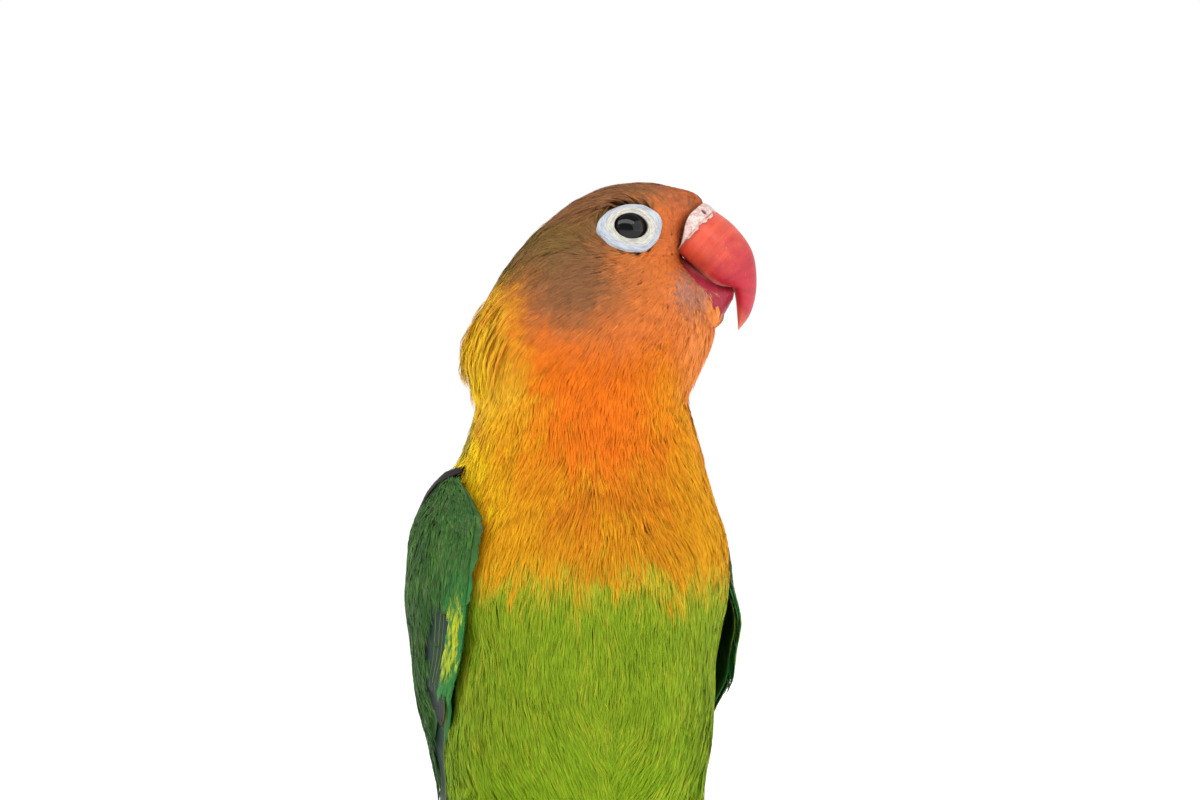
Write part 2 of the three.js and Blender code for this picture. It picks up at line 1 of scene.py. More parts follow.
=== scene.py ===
# A white-ringed lovebird, life size, standing with its head turned to its left. Its skin carries a
# coat of barbed tufts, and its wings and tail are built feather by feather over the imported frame.
import math

import bpy
import numpy as np
from bpy.props import FloatProperty, FloatVectorProperty, IntProperty, PointerProperty
from bpy.types import Operator, Panel, PropertyGroup
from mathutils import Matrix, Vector
from mathutils.bvhtree import BVHTree


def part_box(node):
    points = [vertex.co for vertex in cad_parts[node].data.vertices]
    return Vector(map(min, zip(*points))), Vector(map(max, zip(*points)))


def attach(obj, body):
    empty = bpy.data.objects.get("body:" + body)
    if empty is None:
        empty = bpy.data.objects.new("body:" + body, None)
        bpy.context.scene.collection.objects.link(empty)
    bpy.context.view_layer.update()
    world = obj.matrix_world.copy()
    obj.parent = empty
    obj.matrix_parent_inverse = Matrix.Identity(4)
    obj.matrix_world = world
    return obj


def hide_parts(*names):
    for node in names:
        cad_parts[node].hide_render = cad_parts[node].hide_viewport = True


bl_info = {
    "name": "White-ringed lovebird",
    "version": (1, 0, 0),
    "blender": (4, 5, 0),
    "location": "3D View > Sidebar > Lovebird",
    "description": "Builds the feathers, skin, horn and eyes of a small parrot over its frame",
    "category": "Object",
}

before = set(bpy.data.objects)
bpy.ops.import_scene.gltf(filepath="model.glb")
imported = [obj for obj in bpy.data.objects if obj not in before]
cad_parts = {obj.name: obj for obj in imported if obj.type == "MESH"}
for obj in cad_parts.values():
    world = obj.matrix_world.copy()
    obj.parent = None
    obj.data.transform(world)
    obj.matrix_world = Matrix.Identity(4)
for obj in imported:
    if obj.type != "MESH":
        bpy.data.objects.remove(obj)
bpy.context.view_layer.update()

MM = 0.001
SIDES = {"left": 1, "right": -1}

# Levels of the bird from the vent to the crown, in millimetres: height, middle (y, then how far it
# leads towards the face), reach to the front and to the back of it, half width, turn to the bird's
# left in degrees, and depth of the coat.
LEVELS = np.array(
    [
        (16.6, 8, 0, 0, 0, 0, 0, 2),
        (17.2, 8, 0, 6, 8, 6, 0, 2),
        (20, 7, 0, 12, 14, 11, 0, 2.2),
        (26, 5, 0, 17, 20.5, 15.6, 0, 2.4),
        (34, 3, 0, 21, 23.5, 18.4, 0, 2.4),
        (44, 1, 0, 22.6, 23.5, 19.8, 0, 2.4),
        (54, 0, 0, 23, 23, 19.9, 0, 2.4),
        (64, -0.5, 0, 22.6, 21.6, 21.8, 0, 2.4),
        (71, -1, 0, 20.8, 20, 21.6, 0, 2.4),
        (78, -1, 0, 18.2, 17.8, 19.3, 0, 2.3),
        (85, -1, 0, 16.2, 16, 17.2, 12, 2.2),
        (91, -1, 0, 15.6, 15.8, 15.3, 45, 2.1),
        (96, -1, 0, 17.1, 17.2, 14.6, 72, 1.9),
        (100.5, -1, 0, 18.7, 16.5, 14, 72, 1.7),
        (104.5, -1, 0, 18.4, 14.7, 13.5, 72, 1.5),
        (108, -1, 0, 17.4, 12.7, 12.9, 72, 1.3),
        (111.5, -1, 0, 14.2, 10.3, 12, 72, 1.2),
        (114.5, -1, 0, 15.2, 7.7, 10.8, 72, 1.1),
        (117, -1, 2, 15.1, 6.4, 9.3, 72, 1.1),
        (119.4, -1, 5, 12.4, 6.1, 7, 72, 1.1),
        (121.2, -1, 8, 6.8, 5.3, 4.2, 72, 1.1),
        (122, -1, 8.6, 0, 0, 0, 72, 1.1),
    ]
)
# The neck's middle, where the head starts, and the ways ahead of it, to its left and up.
NECK = np.array([0.0, -1.0, 0.0])
HEAD_YAW = math.radians(72)
HEAD_Z = 96
AHEAD = np.array([math.sin(HEAD_YAW), -math.cos(HEAD_YAW), 0.0])
LEFTWARD = np.array([math.cos(HEAD_YAW), math.sin(HEAD_YAW), 0.0])
UP = np.array([0.0, 0.0, 1.0])

# Bill profiles in the head's middle plane: how far ahead of the neck's middle, and how high.
CULMEN = [(18.6, 118), (21.4, 115.8), (23.9, 112.2), (24.5, 107.6), (23.7, 103.6), (21.9, 101)]
CUTTING_EDGE = [
    (13.2, 112.2), (14.6, 110.9), (16.1, 109.5), (17.2, 108.3), (18.2, 107.5), (19.3, 107.15),
    (20.3, 107.2), (21.1, 107.0), (21.5, 105.6), (21.7, 103.6), (21.9, 101.1),
]
BILL_HALF_WIDTHS = [5.4, 5.1, 4.4, 3.4, 2.1, 0.5]
MANDIBLE_TOP = [(12.6, 111.4), (17.8, 107.8), (21.3, 106.3)]
MANDIBLE_BOTTOM = [(13.5, 101.2), (18.4, 101.7), (21.1, 105.4)]
MANDIBLE_HALF_WIDTHS = [4.3, 3.4, 1.5]
BILL_ROOT = (17.0, 111.5)
NOSTRIL = (17.1, 117.6)
NOSTRIL_ASIDE = 3.3
# Small waves round the cere's front edge: size, how many, and where they start.
CERE_EDGE_WAVES = ((0.16, 7, 1), (0.12, 16, 0), (0.08, 29, 0))
# The bare ring's half sizes along and up: its outer and inner edges, how far the outer one lies
# ahead, where the feathers end, and the oval that they lie round.
RING_OUTER = (4.85, 3.76)
RING_INNER = (2.32, 1.74)
RING_AHEAD = 0.12
RING_COAT = (4.65, 3.72)
RING_REACH = (4.7, 3.7)

# The folded wing's edges by height, in degrees round the body from the breast, and its thickness.
WING_COLUMNS = ["z", "left", "right", "back", "thick"]
WING_ROWS = np.array(
    [
        (17, 162, 162, 175, 1.3),
        (25, 142, 136, 174, 1.2),
        (33, 122, 107, 173, 1.1),
        (41, 106, 90, 171, 1.4),
        (49, 86, 76, 169, 3.1),
        (55, 73, 66, 166, 3.7),
        (65, 76, 57, 160, 2.9),
        (73, 90, 57, 152, 2.7),
        (77, 100, 65, 146, 2.4),
        (81, 110, 78, 140, 1.5),
    ]
)
WING_TOP_Z = 79.5
WING_TIP_Z = 17
WING_GAP = 0.8
WING_WIDTH = 40
# Below the body the folded wings run out over the tail: height, y, reach front and back, half width.
TAIL_BED = np.array(
    [
        (4, 14, 14, 41.5, 44),
        (12, 10, 16, 37.6, 36),
        (20, 6, 19, 33.2, 27),
        (28, 4.3, 20.5, 28.6, 20.4),
        (36, 2.7, 22.2, 25.6, 19.4),
        (44, 1, 23.2, 24.2, 20.4),
    ]
)
LEAVE_BODY_Z = 42

TAIL_ROOT = np.array([0.0, 21.0, 31.0])
TAIL_DROP = math.radians(40)
TAIL_ALONG = np.array([0.0, math.cos(TAIL_DROP), -math.sin(TAIL_DROP)])
TAIL_UP = np.array([0.0, math.sin(TAIL_DROP), math.cos(TAIL_DROP)])
TAIL_LENGTH = 44
# On each side: how many tail feathers, how far the first is turned out and each next one more, and
# how many rows of coverts lie over and under their roots.
TAIL_FEATHERS = 6
TAIL_FAN = (1.4, 2.1)
TAIL_COVERT_ROWS = 3

FOOT = np.array([9.5, 0.5, 1.8])
ANKLE = np.array([9.5, 8.0, 13.5])
THIGH = [(9.9, 0.5, 36), (10.5, -3.6, 28.5), (10.3, -0.5, 21), (9.5, 8, 13.5)]
THIGH_RADII = [3, 8.6, 6.6, 2.3]
THIGH_COAT = 0.9
# Steps along a thigh or rings up the body, and points round them.
THIGH_RINGS = (24, 32)
BODY_RINGS = (150, 96)
FINE_BODY_RINGS = (300, 240)
TOES = {
    "inner_front": (-20, 11),
    "outer_front": (14, 15),
    "outer_back": (145, 13),
    "inner_back": (-158, 8.5),
}
# Middle of a toe by the share of its length, and of a claw by how far out it is, with its height.
TOE_ARCH = ((0, 1.3), (0.45, 1.15), (1, 0.95))
CLAW_HOOK = ((-0.3, 1.1), (1.8, 1.5), (3.2, 1.15), (4, 0.4))
CLAW_RADII = (0.9, 0.75, 0.45, 0.1)
SCUTES_PER_MM = 1.25

# The unwrap: the body's axis, the heights that it spans, its margin and the share inside it.
BODY_AXIS_Y = 1
UNWRAP_Z = (10, 123)
UNWRAP_MARGIN = 0.02
UNWRAP_SHARE = 0.94

# How far each group's random draws start after the seed.
SEEDS = {
    "coat": 0, "ruff": 1, "bristles": 2, "wing": 10, "tail": 20, "wing_coat": 30, "shoulder_coat": 40,
}

# Plain values of the materials.
WHITE = (1.0, 1.0, 1.0)
HORN_RIM = (0.72, 0.4, 0.3)
HORN_SCRATCH = (0.85, 0.55, 0.5)
BILL_COLOURS = ("bill", "bill_root", "bill_tip", "lower_bill")
# How light a barb is at its root: painted shade of the tufts that lie over the roots.
ROOT_PAINTED_SHADE_LEVEL = 0.78
FLESH_DEPTH = 0.001


def hermite(p, q, m, n, t):
    """A cubic from p to q whose slopes at its ends are m and n."""
    return (
        p * (2 * t**3 - 3 * t**2 + 1)
        + q * (3 * t**2 - 2 * t**3)
        + m * (t**3 - 2 * t**2 + t)
        + n * (t**3 - t**2)
    )


def between(rows, place):
    """Smooth values of a table's columns at places between its rows, without overshoot."""
    rows = np.asarray(rows, float).reshape(len(rows), -1)
    step = np.diff(rows, axis=0)
    total = step[:-1] + step[1:]
    even = step[:-1] * step[1:] > 0
    inner = np.where(even, 2 * step[:-1] * step[1:] / np.where(even, total, 1), 0)
    slope = np.vstack([step[:1], inner, step[-1:]])
    at = np.clip(place, 0, len(rows) - 1)
    low = np.minimum(np.asarray(at).astype(int), len(rows) - 2)
    return hermite(rows[low], rows[low + 1], slope[low], slope[low + 1], (at - low)[..., None])


def place_in(rows, z):
    """The place between a table's rows where its first column reaches a height."""
    fine = np.linspace(0, len(rows) - 1, 3000)
    return np.interp(z, between(rows, fine)[:, 0], fine)


def oval(turn, front, back, half):
    """Radius of an oval with different reaches to its front and back."""
    reach = np.maximum(np.where(np.cos(turn) >= 0, front, back), 1e-3)
    return 1 / np.hypot(np.cos(turn) / reach, np.sin(turn) / np.maximum(half, 1e-3))


def outline(place, angle, grow=0.0):
    """Points of the plumage's outline at places in LEVELS and angles round from the breast."""
    z, y, lead, front, back, half, yaw, _ = np.moveaxis(between(LEVELS, place), -1, 0)
    yaw = np.radians(yaw)
    radius = oval(angle - yaw, front + grow, back + grow, half + grow)
    x = np.sin(yaw) * lead + np.sin(angle) * radius
    return np.stack([x, y - np.cos(yaw) * lead - np.cos(angle) * radius, z + 0 * radius], -1)


def smooth(value, low, high):
    """0 below low, 1 above high, and an even rise between them."""
    t = np.clip((value - low) / (high - low), 0, 1)
    return t * t * (3 - 2 * t)


def unit(vectors):
    return vectors / np.maximum(np.linalg.norm(vectors, axis=-1, keepdims=True), 1e-12)


def offset(base, *moves):
    """A base moved along some directions, each given after how far it goes."""
    for far, way in moves:
        base = base + np.asarray(far, float)[..., None] * way
    return base


def head_point(ahead, z, aside=0.0):
    """A point given by how far it is ahead of the neck's middle, its height and its side."""
    return offset(NECK, (ahead, AHEAD), (aside, LEFTWARD), (z, UP))


def ahead_of_neck(points):
    return (points - NECK) @ AHEAD


def over_grid(rows, columns):
    """Two values laid out over a grid: one down its rows and one along its columns."""
    return np.meshgrid(rows, columns, indexing="ij")


def turns(sides):
    """Even angles round a circle."""
    return np.linspace(0, 2 * np.pi, sides, endpoint=False)


# The bird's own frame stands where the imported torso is.
def find_origin():
    low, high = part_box("torso")
    fine = np.linspace(0, len(LEVELS) - 1, 2000)
    rows = between(LEVELS, fine)
    front = (rows[:, 1] - rows[:, 3]).min()
    return np.array([(low[0] + high[0]) / 2 / MM, low[1] / MM - front, 0.0])


ORIGIN = find_origin()


def to_scene(points):
    """Millimetres in the bird's frame to metres in the scene."""
    return (np.asarray(points, float) + ORIGIN) * MM


def spline(points, t):
    """Smooth curve through points, at shares t of its length."""
    points = np.asarray(points, float)
    last = len(points) - 1
    place = np.asarray(t, float) * last
    low = np.clip(np.floor(place).astype(int), 0, last - 1)
    before = points[np.maximum(low - 1, 0)]
    after = points[np.minimum(low + 2, last)]
    p, q = points[low], points[low + 1]
    return hermite(p, q, (q - before) / 2, (after - p) / 2, (place - low)[..., None])


def store(mesh, name, values):
    """Keeps a vector for each point, which the materials read by its name."""
    layer = mesh.attributes.new(name, "FLOAT_VECTOR", "POINT")
    layer.data.foreach_set("vector", np.ravel(values))


def new_piece(name, points, faces, material, slot, nodes=(), trait=None):
    """Adds a mesh piece from points in millimetres and equal faces, riding on the bird."""
    points = np.asarray(points, float).reshape(-1, 3)
    faces = np.asarray(faces, int)
    mesh = bpy.data.meshes.new(name)
    mesh.vertices.add(len(points))
    mesh.vertices.foreach_set("co", to_scene(points).ravel())
    mesh.loops.add(faces.size)
    mesh.loops.foreach_set("vertex_index", faces.ravel())
    mesh.polygons.add(len(faces))
    mesh.polygons.foreach_set("loop_start", np.arange(0, faces.size, faces.shape[1]))
    mesh.update(calc_edges=True)
    if mesh.validate():
        raise RuntimeError(name + " has a broken face")
    mesh.shade_smooth()
    piece = bpy.data.objects.new(name, mesh)
    bpy.context.scene.collection.objects.link(piece)
    mesh.materials.append(material)
    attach(piece, "root")
    if nodes:
        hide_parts(*nodes)
    if trait is not None:
        store(mesh, "trait", trait)
    return piece


def set_unwrap(mesh, places):
    mesh.uv_layers.new(name="OFBake").data.foreach_set("uv", np.ravel(places))


def grid_faces(rows, columns, wrap=False):
    """Quads over a grid of points, closed round its columns if it wraps."""
    across = columns if wrap else columns - 1
    i, j = over_grid(np.arange(rows - 1), np.arange(across))
    near = (j + 1) % columns
    quads = [i * columns + j, i * columns + near, (i + 1) * columns + near, (i + 1) * columns + j]
    return np.stack([part.ravel() for part in quads], -1)


def tube_faces(rows, columns):
    """Quads of a closed tube, with each end closed by quads folded on its first and last ring."""
    faces = [grid_faces(rows, columns, wrap=True)]
    for base, way in ((0, 1), ((rows - 1) * columns, -1)):
        for k in range(columns // 2 - 1):
            quad = [base + k, base + k + 1, base + columns - k - 2, base + columns - k - 1]
            faces.append([quad[::way]])
    return np.vstack(faces)


def new_tube(name, rings, material, slot, nodes=(), trait=None):
    """Adds a closed tube from rings of points."""
    return new_piece(name, rings, tube_faces(*rings.shape[:2]), material, slot, nodes, trait)


def join_tubes(limbs):
    """Points and faces of some closed tubes together."""
    points, faces, start = [], [], 0
    for limb in limbs:
        rows, columns = limb.shape[:2]
        points.append(limb.reshape(-1, 3))
        faces.append(tube_faces(rows, columns) + start)
        start += rows * columns
    return np.vstack(points), np.vstack(faces)


# Node trees


class Tree:
    """Adds nodes to a node tree and links what they take."""

    def __init__(self, tree):
        self.tree = tree

    def add(self, kind, values=None, **settings):
        node = self.tree.nodes.new(kind)
        for key, value in settings.items():
            setattr(node, key, value)
        for key, value in (values or {}).items():
            self.feed(node.inputs[key], value)
        return node

    def feed(self, socket, value):
        """Links a socket to another, or sets it where a value is given."""
        if isinstance(value, bpy.types.NodeSocket):
            self.tree.links.new(value, socket)
        elif value is not None:
            plain = socket.type == "RGBA" and len(value) == 3
            socket.default_value = (*value, 1) if plain else value

    def maths(self, operation, *values):
        node = self.add("ShaderNodeMath", operation=operation)
        for socket, value in zip(node.inputs, values):
            self.feed(socket, value)
        return node.outputs[0]

    def times(self, product, *others):
        for other in others:
            product = self.maths("MULTIPLY", product, other)
        return product

    def plus(self, a, b):
        return self.maths("ADD", a, b)

    def minus(self, a, b):
        return self.maths("SUBTRACT", a, b)

    def vector(self, operation, a, b=None):
        node = self.add("ShaderNodeVectorMath", operation=operation)
        self.feed(node.inputs[0], a)
        self.feed(node.inputs["Scale" if operation == "SCALE" else 1], b)
        return node.outputs["Value" if operation in ("LENGTH", "DOT_PRODUCT") else "Vector"]

    def mix(self, share, a, b, blend="MIX"):
        node = self.add("ShaderNodeMix", data_type="RGBA", blend_type=blend)
        sockets = {socket.identifier: socket for socket in (*node.inputs, *node.outputs)}
        for key, value in (("Factor_Float", share), ("A_Color", a), ("B_Color", b)):
            self.feed(sockets[key], value)
        return sockets["Result_Color"]

    def darken(self, colour, light):
        return self.mix(1.0, colour, light, "MULTIPLY")

    def rise(self, value, low, high):
        """0 below low, 1 above high."""
        values = {"Value": value, "From Min": low, "From Max": high}
        node = self.add("ShaderNodeMapRange", values, interpolation_type="SMOOTHSTEP")
        return node.outputs["Result"]

    def noise(self, vector, scale, detail=2.0, rough=0.5, kind="Fac"):
        values = {"Vector": vector, "Scale": scale, "Detail": detail, "Roughness": rough}
        return self.add("ShaderNodeTexNoise", values).outputs[kind]

    def attribute(self, name):
        return self.add("ShaderNodeAttribute", attribute_name=name).outputs["Vector"]

    def split(self, vector):
        return self.add("ShaderNodeSeparateXYZ", {"Vector": vector}).outputs

    def join(self, x, y, z):
        return self.add("ShaderNodeCombineXYZ", {"X": x, "Y": y, "Z": z}).outputs["Vector"]

    def grey(self, level):
        return self.join(level, level, level)

    def bump(self, height, strength, reach, **settings):
        values = {"Height": height, "Strength": strength, "Distance": reach}
        return self.add("ShaderNodeBump", values, **settings).outputs["Normal"]

    def group(self, group, values):
        return self.add("ShaderNodeGroup", values, node_tree=group).outputs

    def surface(self, colour, rough, shine=None, normal=None, flesh=None, more=()):
        """Feeds the material's shader; flesh is how much of the light passes under the surface."""
        values = {"Base Color": colour, "Roughness": rough, "Specular IOR Level": shine}
        values |= {"Normal": normal, "Subsurface Weight": flesh, **dict(more)}
        if flesh:
            values["Subsurface Scale"] = FLESH_DEPTH
        shader = self.tree.nodes["Principled BSDF"]
        for key, value in values.items():
            self.feed(shader.inputs[key], value)


def new_group(name, inputs, outputs):
    """A shader node group with named sockets: its tree helper, its inputs and its outputs."""
    group = bpy.data.node_groups.new(name, "ShaderNodeTree")
    kinds = {"float": "NodeSocketFloat", "vector": "NodeSocketVector", "color": "NodeSocketColor"}
    for label, (kind, value) in inputs.items():
        socket = group.interface.new_socket(label, in_out="INPUT", socket_type=kinds[kind])
        if value is not None:
            socket.default_value = value
    for label, kind in outputs.items():
        group.interface.new_socket(label, in_out="OUTPUT", socket_type=kinds[kind])
    tree = Tree(group)
    return tree, tree.add("NodeGroupInput").outputs, tree.add("NodeGroupOutput").inputs


def new_material(name):
    """A material with a Principled shader, and its tree helper."""
    material = bpy.data.materials.new(name)
    material.use_nodes = True
    return material, Tree(material.node_tree)


def paint(red, green, blue):
    """A colour given as it shows on a screen, in the shader's own linear scale."""
    return tuple(
        c / 12.92 if c <= 0.04045 else ((c + 0.055) / 1.055) ** 2.4
        for c in (red / 255, green / 255, blue / 255)
    )


# Sizes and colours that a user would change


def colour(name, description, red, green, blue):
    return FloatVectorProperty(
        name=name,
        description=description,
        subtype="COLOR",
        size=3,
        min=0,
        max=1,
        default=paint(red, green, blue),
    )


class LovebirdPlumage(PropertyGroup):
    """Colours of the plumage."""

    forehead: colour("Forehead", "Round the base of the bill and over the forehead", 204, 104, 60)
    crown: colour("Crown", "Top of the head", 142, 95, 60)
    hind_crown: colour("Hind crown", "Back of the head", 126, 88, 48)
    olive: colour("Olive", "Green tinge at the back of the head", 122, 114, 44)
    cheek: colour("Cheek", "Side of the face", 214, 118, 54)
    dusky: colour("Dusky patch", "Patch behind and under the eye", 128, 90, 60)
    gape: colour("Gape", "Grey feathers at the corner of the bill", 160, 122, 112)
    throat: colour("Throat", "Throat and fore-neck", 222, 110, 16)
    chin: colour("Chin", "Chin and the front of the neck", 236, 146, 76)
    breast: colour("Breast", "Middle of the breast", 202, 116, 14)
    bib: colour("Bib", "Lower part of the orange breast", 200, 130, 14)
    gold: colour("Gold", "Golden streaks through the breast", 216, 156, 16)
    fringe: colour("Fringe", "Yellow feathers between the bib and the belly", 170, 168, 40)
    nape: colour("Nape", "Ruff at the back of the head", 224, 172, 38)
    hind_neck: colour("Hind neck", "Below the ruff", 156, 150, 46)
    collar: colour("Collar", "Yellow feathers over the shoulders", 238, 202, 18)
    belly: colour("Belly", "Belly and flanks", 122, 150, 24)
    vent: colour("Vent", "Lower belly and thighs", 126, 162, 20)
    mantle: colour("Mantle", "Back between the wings", 78, 112, 40)
    rump: colour("Rump", "Rump and upper tail coverts", 62, 78, 142)
    covert: colour("Wing coverts", "Coverts of the folded wing", 48, 90, 36)
    covert_light: colour("Light coverts", "Paler barbs among the coverts", 76, 120, 48)
    covert_dusky: colour("Dusky flecks", "Brown-grey flecks among the coverts", 96, 80, 66)
    wing_edge: colour("Wing edge", "Bright strip along the wing's front edge", 44, 128, 62)
    quill: colour("Quills", "Dark inner vanes of the flight feathers", 44, 42, 43)
    quill_edge: colour("Quill edges", "Outer vanes of the flight feathers", 32, 60, 50)
    wing_stripe: colour("Wing stripe", "Pale strip behind the wing's front edge", 176, 184, 40)
    shoulder: colour("Shoulder", "Dark feathers over the top of the wing", 40, 34, 32)
    tail_band: colour("Tail band", "Band near the roots of the outer tail feathers", 214, 92, 36)


class LovebirdBare(PropertyGroup):
    """Colours of the bill, skin and eyes."""

    bill: colour("Bill", "Middle of the bill", 178, 32, 50)
    bill_root: colour("Bill root", "Root and ridge of the bill", 208, 80, 56)
    bill_tip: colour("Bill tip", "Tip and edges of the bill", 192, 98, 68)
    lower_bill: colour("Lower bill", "Lower bill", 150, 28, 52)
    cere: colour("Cere", "Swollen skin over the nostrils", 222, 206, 200)
    cere_flush: colour("Flushed cere", "Pinker patches of the cere", 208, 164, 154)
    ring: colour("Eye ring", "Inner part of the bare ring", 204, 200, 188)
    ring_edge: colour("Eye ring edge", "Outer part of the bare ring", 186, 193, 200)
    iris: colour("Iris", "Iris of the eye", 26, 19, 17)
    foot: colour("Foot", "Scales of the foot", 158, 148, 144)
    claw: colour("Claw", "Claws", 70, 62, 58)


class LovebirdSizes(PropertyGroup):
    """Sizes of the coat and of the eye."""

    layers: FloatProperty(
        name="Coat layers", description="Tufts lying over each place", default=15, min=2, max=30
    )
    barb_width: FloatProperty(
        name="Barb width", description="Width of one barb in mm", default=0.13, min=0.05, max=1
    )
    skin_voxel: FloatProperty(
        name="Skin detail",
        description="Size of the skin's faces",
        default=0.0006,
        min=0.0002,
        max=0.005,
        unit="LENGTH",
    )
    seed: IntProperty(name="Seed", description="Start of the random draws", default=7, min=0)
    eye_radius: FloatProperty(
        name="Eye radius", description="Radius of the eyeball in mm", default=3.1, min=1, max=6
    )


# Shared effects of the materials


def bird_place(tree):
    """Where a point is in the bird's own frame, in millimetres."""
    here = tree.add("ShaderNodeTexCoord").outputs["Object"]
    return tree.vector("SUBTRACT", tree.vector("SCALE", here, 1 / MM), tuple(ORIGIN))


def blob(tree, place, centre, reach, edge):
    """1 inside an egg-shaped patch and 0 outside it, with a soft edge."""
    away = tree.vector("DIVIDE", tree.vector("SUBTRACT", place, centre), reach)
    return tree.rise(tree.vector("LENGTH", away), 1 + edge / 2, 1 - edge / 2)


# Where each colour lies on the body, from the first laid on to the last: its strength, and the
# coordinates that it follows, each with the values at which it starts and is full, if it has any.
FRONT = ("y", 9, 2)
PLUMAGE_LAYERS = (
    ("vent", 1, ("z", 56, 36)),
    ("fringe", 1, ("streak", 0.52, 0.72)),
    ("mantle", 1, ("y", 4, 13), ("z", 90, 82)),
    ("rump", 1, ("y", 12, 19), ("z", 42, 32)),
    ("fringe", 1, ("z", 68, 70), FRONT),
    ("bib", 1, ("z", 70, 72.5), FRONT),
    ("breast", 1, ("z", 72, 80), FRONT),
    ("gold", 0.8, ("streak", 0.5, 0.68), ("z", 66, 72), FRONT),
    ("throat", 1, ("z", 82, 90), FRONT),
    ("gold", 0.75, ("flank",), FRONT, ("z", 69, 73), ("z", 104, 92)),
    ("collar", 1, ("side", 11, 16), ("z", 75, 79), ("z", 93, 88), ("over_wing",)),
    ("hind_neck", 1, ("z", 82, 86), ("ahead", -6, -13), ("y", -6, 0)),
    ("nape", 1, ("z", 88, 95), ("ahead", -2, -12)),
    ("collar", 1, ("z", 92, 97), ("ahead", -11, -15)),
    ("cheek", 1, ("z", 97, 104), ("ahead", -9, 3)),
    ("hind_crown", 1, ("z", 107, 112), ("ahead", 9, 4)),
    ("olive", 1, ("z", 107, 112), ("ahead", 9, 4), ("speckle", 0.45, 0.65), ("ahead", 5, -3)),
    ("crown", 1, ("z", 116, 118.5)),
)
# Soft patches on the face: strength, middle (ahead, aside, height), reach and softness.
FACE_PATCHES = (
    ("chin", 0.8, (18.8, 3.0, 98.5), (4.6, 10.0, 8.5), 0.9),
    ("dusky", 0.9, (1.5, 10.0, 107.6), (6.6, 9.0, 4.6), 1.3),
    ("forehead", 0.9, (17.5, 0.0, 115.0), (6.0, 14.0, 6.5), 0.9),
    ("dusky", 0.75, (15.4, 3.6, 116.9), (1.0, 2.4, 1.7), 0.8),
    ("gape", 0.7, (15.5, 6.0, 107.0), (2.2, 6.0, 2.6), 0.8),
)
# The same on the folded wing, by how far across and down it a feather's root is.
WING_LAYERS = (
    ("covert_light", 1, ("cloud", 0.45, 0.7)),
    ("covert_light", 1, ("chance", 0.72, 0.98)),
    ("covert_dusky", 0.6, ("speckle", 0.52, 0.68), ("down", 0.5, 0.3)),
    ("wing_edge", 0.75, ("across", 0.08, 0.05), ("down", 0.12, 0.25)),
    ("wing_stripe", 1, ("across", 0.006, 0.012), ("across", 0.046, 0.038), ("down", 0.18, 0.26),
     ("down", 0.42, 0.34)),
)
# The same on a flight or tail feather, by shares along and across it.
QUILL_LAYERS = (
    ("quill", 1, ("across", -0.3, 0.0), ("along", 0.3, 0.6)),
    ("quill", 1, ("along", 0.75, 1.0)),
    ("wing_stripe", 0.3, ("across", -0.9, -0.98)),
)
TAIL_LAYERS = (
    ("tail_band", 1, ("along", 0.3, 0.42), ("along", 0.74, 0.6), ("side", 2.5, 5.0)),
    ("quill", 0.8, ("along", 0.72, 0.78), ("along", 0.9, 0.84)),
    ("rump", 1, ("along", 0.88, 0.95)),
)


def lay_colours(tree, plumage, shown, layers, spot):
    """Lays colours over a first one where the coordinates of a spot say."""
    for key, strength, *where in layers:
        share = strength
        for name, *limits in where:
            share = tree.times(tree.rise(spot[name], *limits) if limits else spot[name], share)
        shown = tree.mix(share, shown, tuple(getattr(plumage, key)))
    return shown


def build_markings(plumage):
    """Colours of the plumage by the place of a feather's root, for the skin and the coat alike."""
    tree, given, out = new_group("plumage_markings", {"Place": ("vector", None)}, {"Color": "color"})
    wander = tree.vector("SUBTRACT", tree.noise(given["Place"], 0.33, 3, kind="Color"), (0.5,) * 3)
    place = tree.vector("ADD", given["Place"], tree.vector("SCALE", wander, 5.0))
    x, y, z = tree.split(place)
    from_neck = tree.vector("SUBTRACT", place, tuple(NECK))
    ahead = tree.vector("DOT_PRODUCT", from_neck, tuple(AHEAD))
    aside = tree.maths("ABSOLUTE", tree.vector("DOT_PRODUCT", from_neck, tuple(LEFTWARD)))
    right_front = tree.times(tree.rise(x, 1.0, -1.0), tree.rise(y, 8, 0))
    spot = {
        "y": y,
        "z": z,
        "ahead": ahead,
        "side": tree.maths("ABSOLUTE", x),
        "streak": tree.noise(tree.vector("MULTIPLY", place, (1.0, 1.0, 0.3)), 0.5, 3),
        "speckle": tree.noise(place, 0.5, 2),
        "flank": tree.maths("MAXIMUM", tree.rise(x, -4, -11), tree.rise(x, 2, 12)),
        "over_wing": tree.maths("MAXIMUM", right_front, tree.rise(y, -3, 4)),
    }
    shown = lay_colours(tree, plumage, tuple(plumage.belly), PLUMAGE_LAYERS, spot)
    face = tree.join(ahead, aside, z)
    for key, strength, centre, reach, edge in FACE_PATCHES:
        share = tree.times(blob(tree, face, centre, reach, edge), strength)
        shown = tree.mix(share, shown, tuple(getattr(plumage, key)))
    tree.feed(out["Color"], shown)


def build_barb_shade():
    """Painted shade along a barb, darker towards its root; tone from one tuft and barb to the next."""
    inputs = {"Color": ("color", None), "Barb": ("vector", None), "Spread": ("float", 0.32)}
    tree, given, out = new_group("barb_shade", inputs, {"Color": "color"})
    along, _, chance = tree.split(given["Barb"])
    # Painted shade: each barb is darker towards its root.
    level = tree.plus(tree.times(tree.rise(along, 0.0, 0.62), 1 - ROOT_PAINTED_SHADE_LEVEL), ROOT_PAINTED_SHADE_LEVEL)
    change = tree.times(tree.minus(chance, 0.46), given["Spread"])
    dark_shaft = tree.times(tree.rise(chance, 0.13, 0.09), 0.25)
    level = tree.times(level, tree.plus(change, 1.0), tree.minus(1.0, dark_shaft))
    tree.feed(out["Color"], tree.darken(given["Color"], tree.grey(level)))


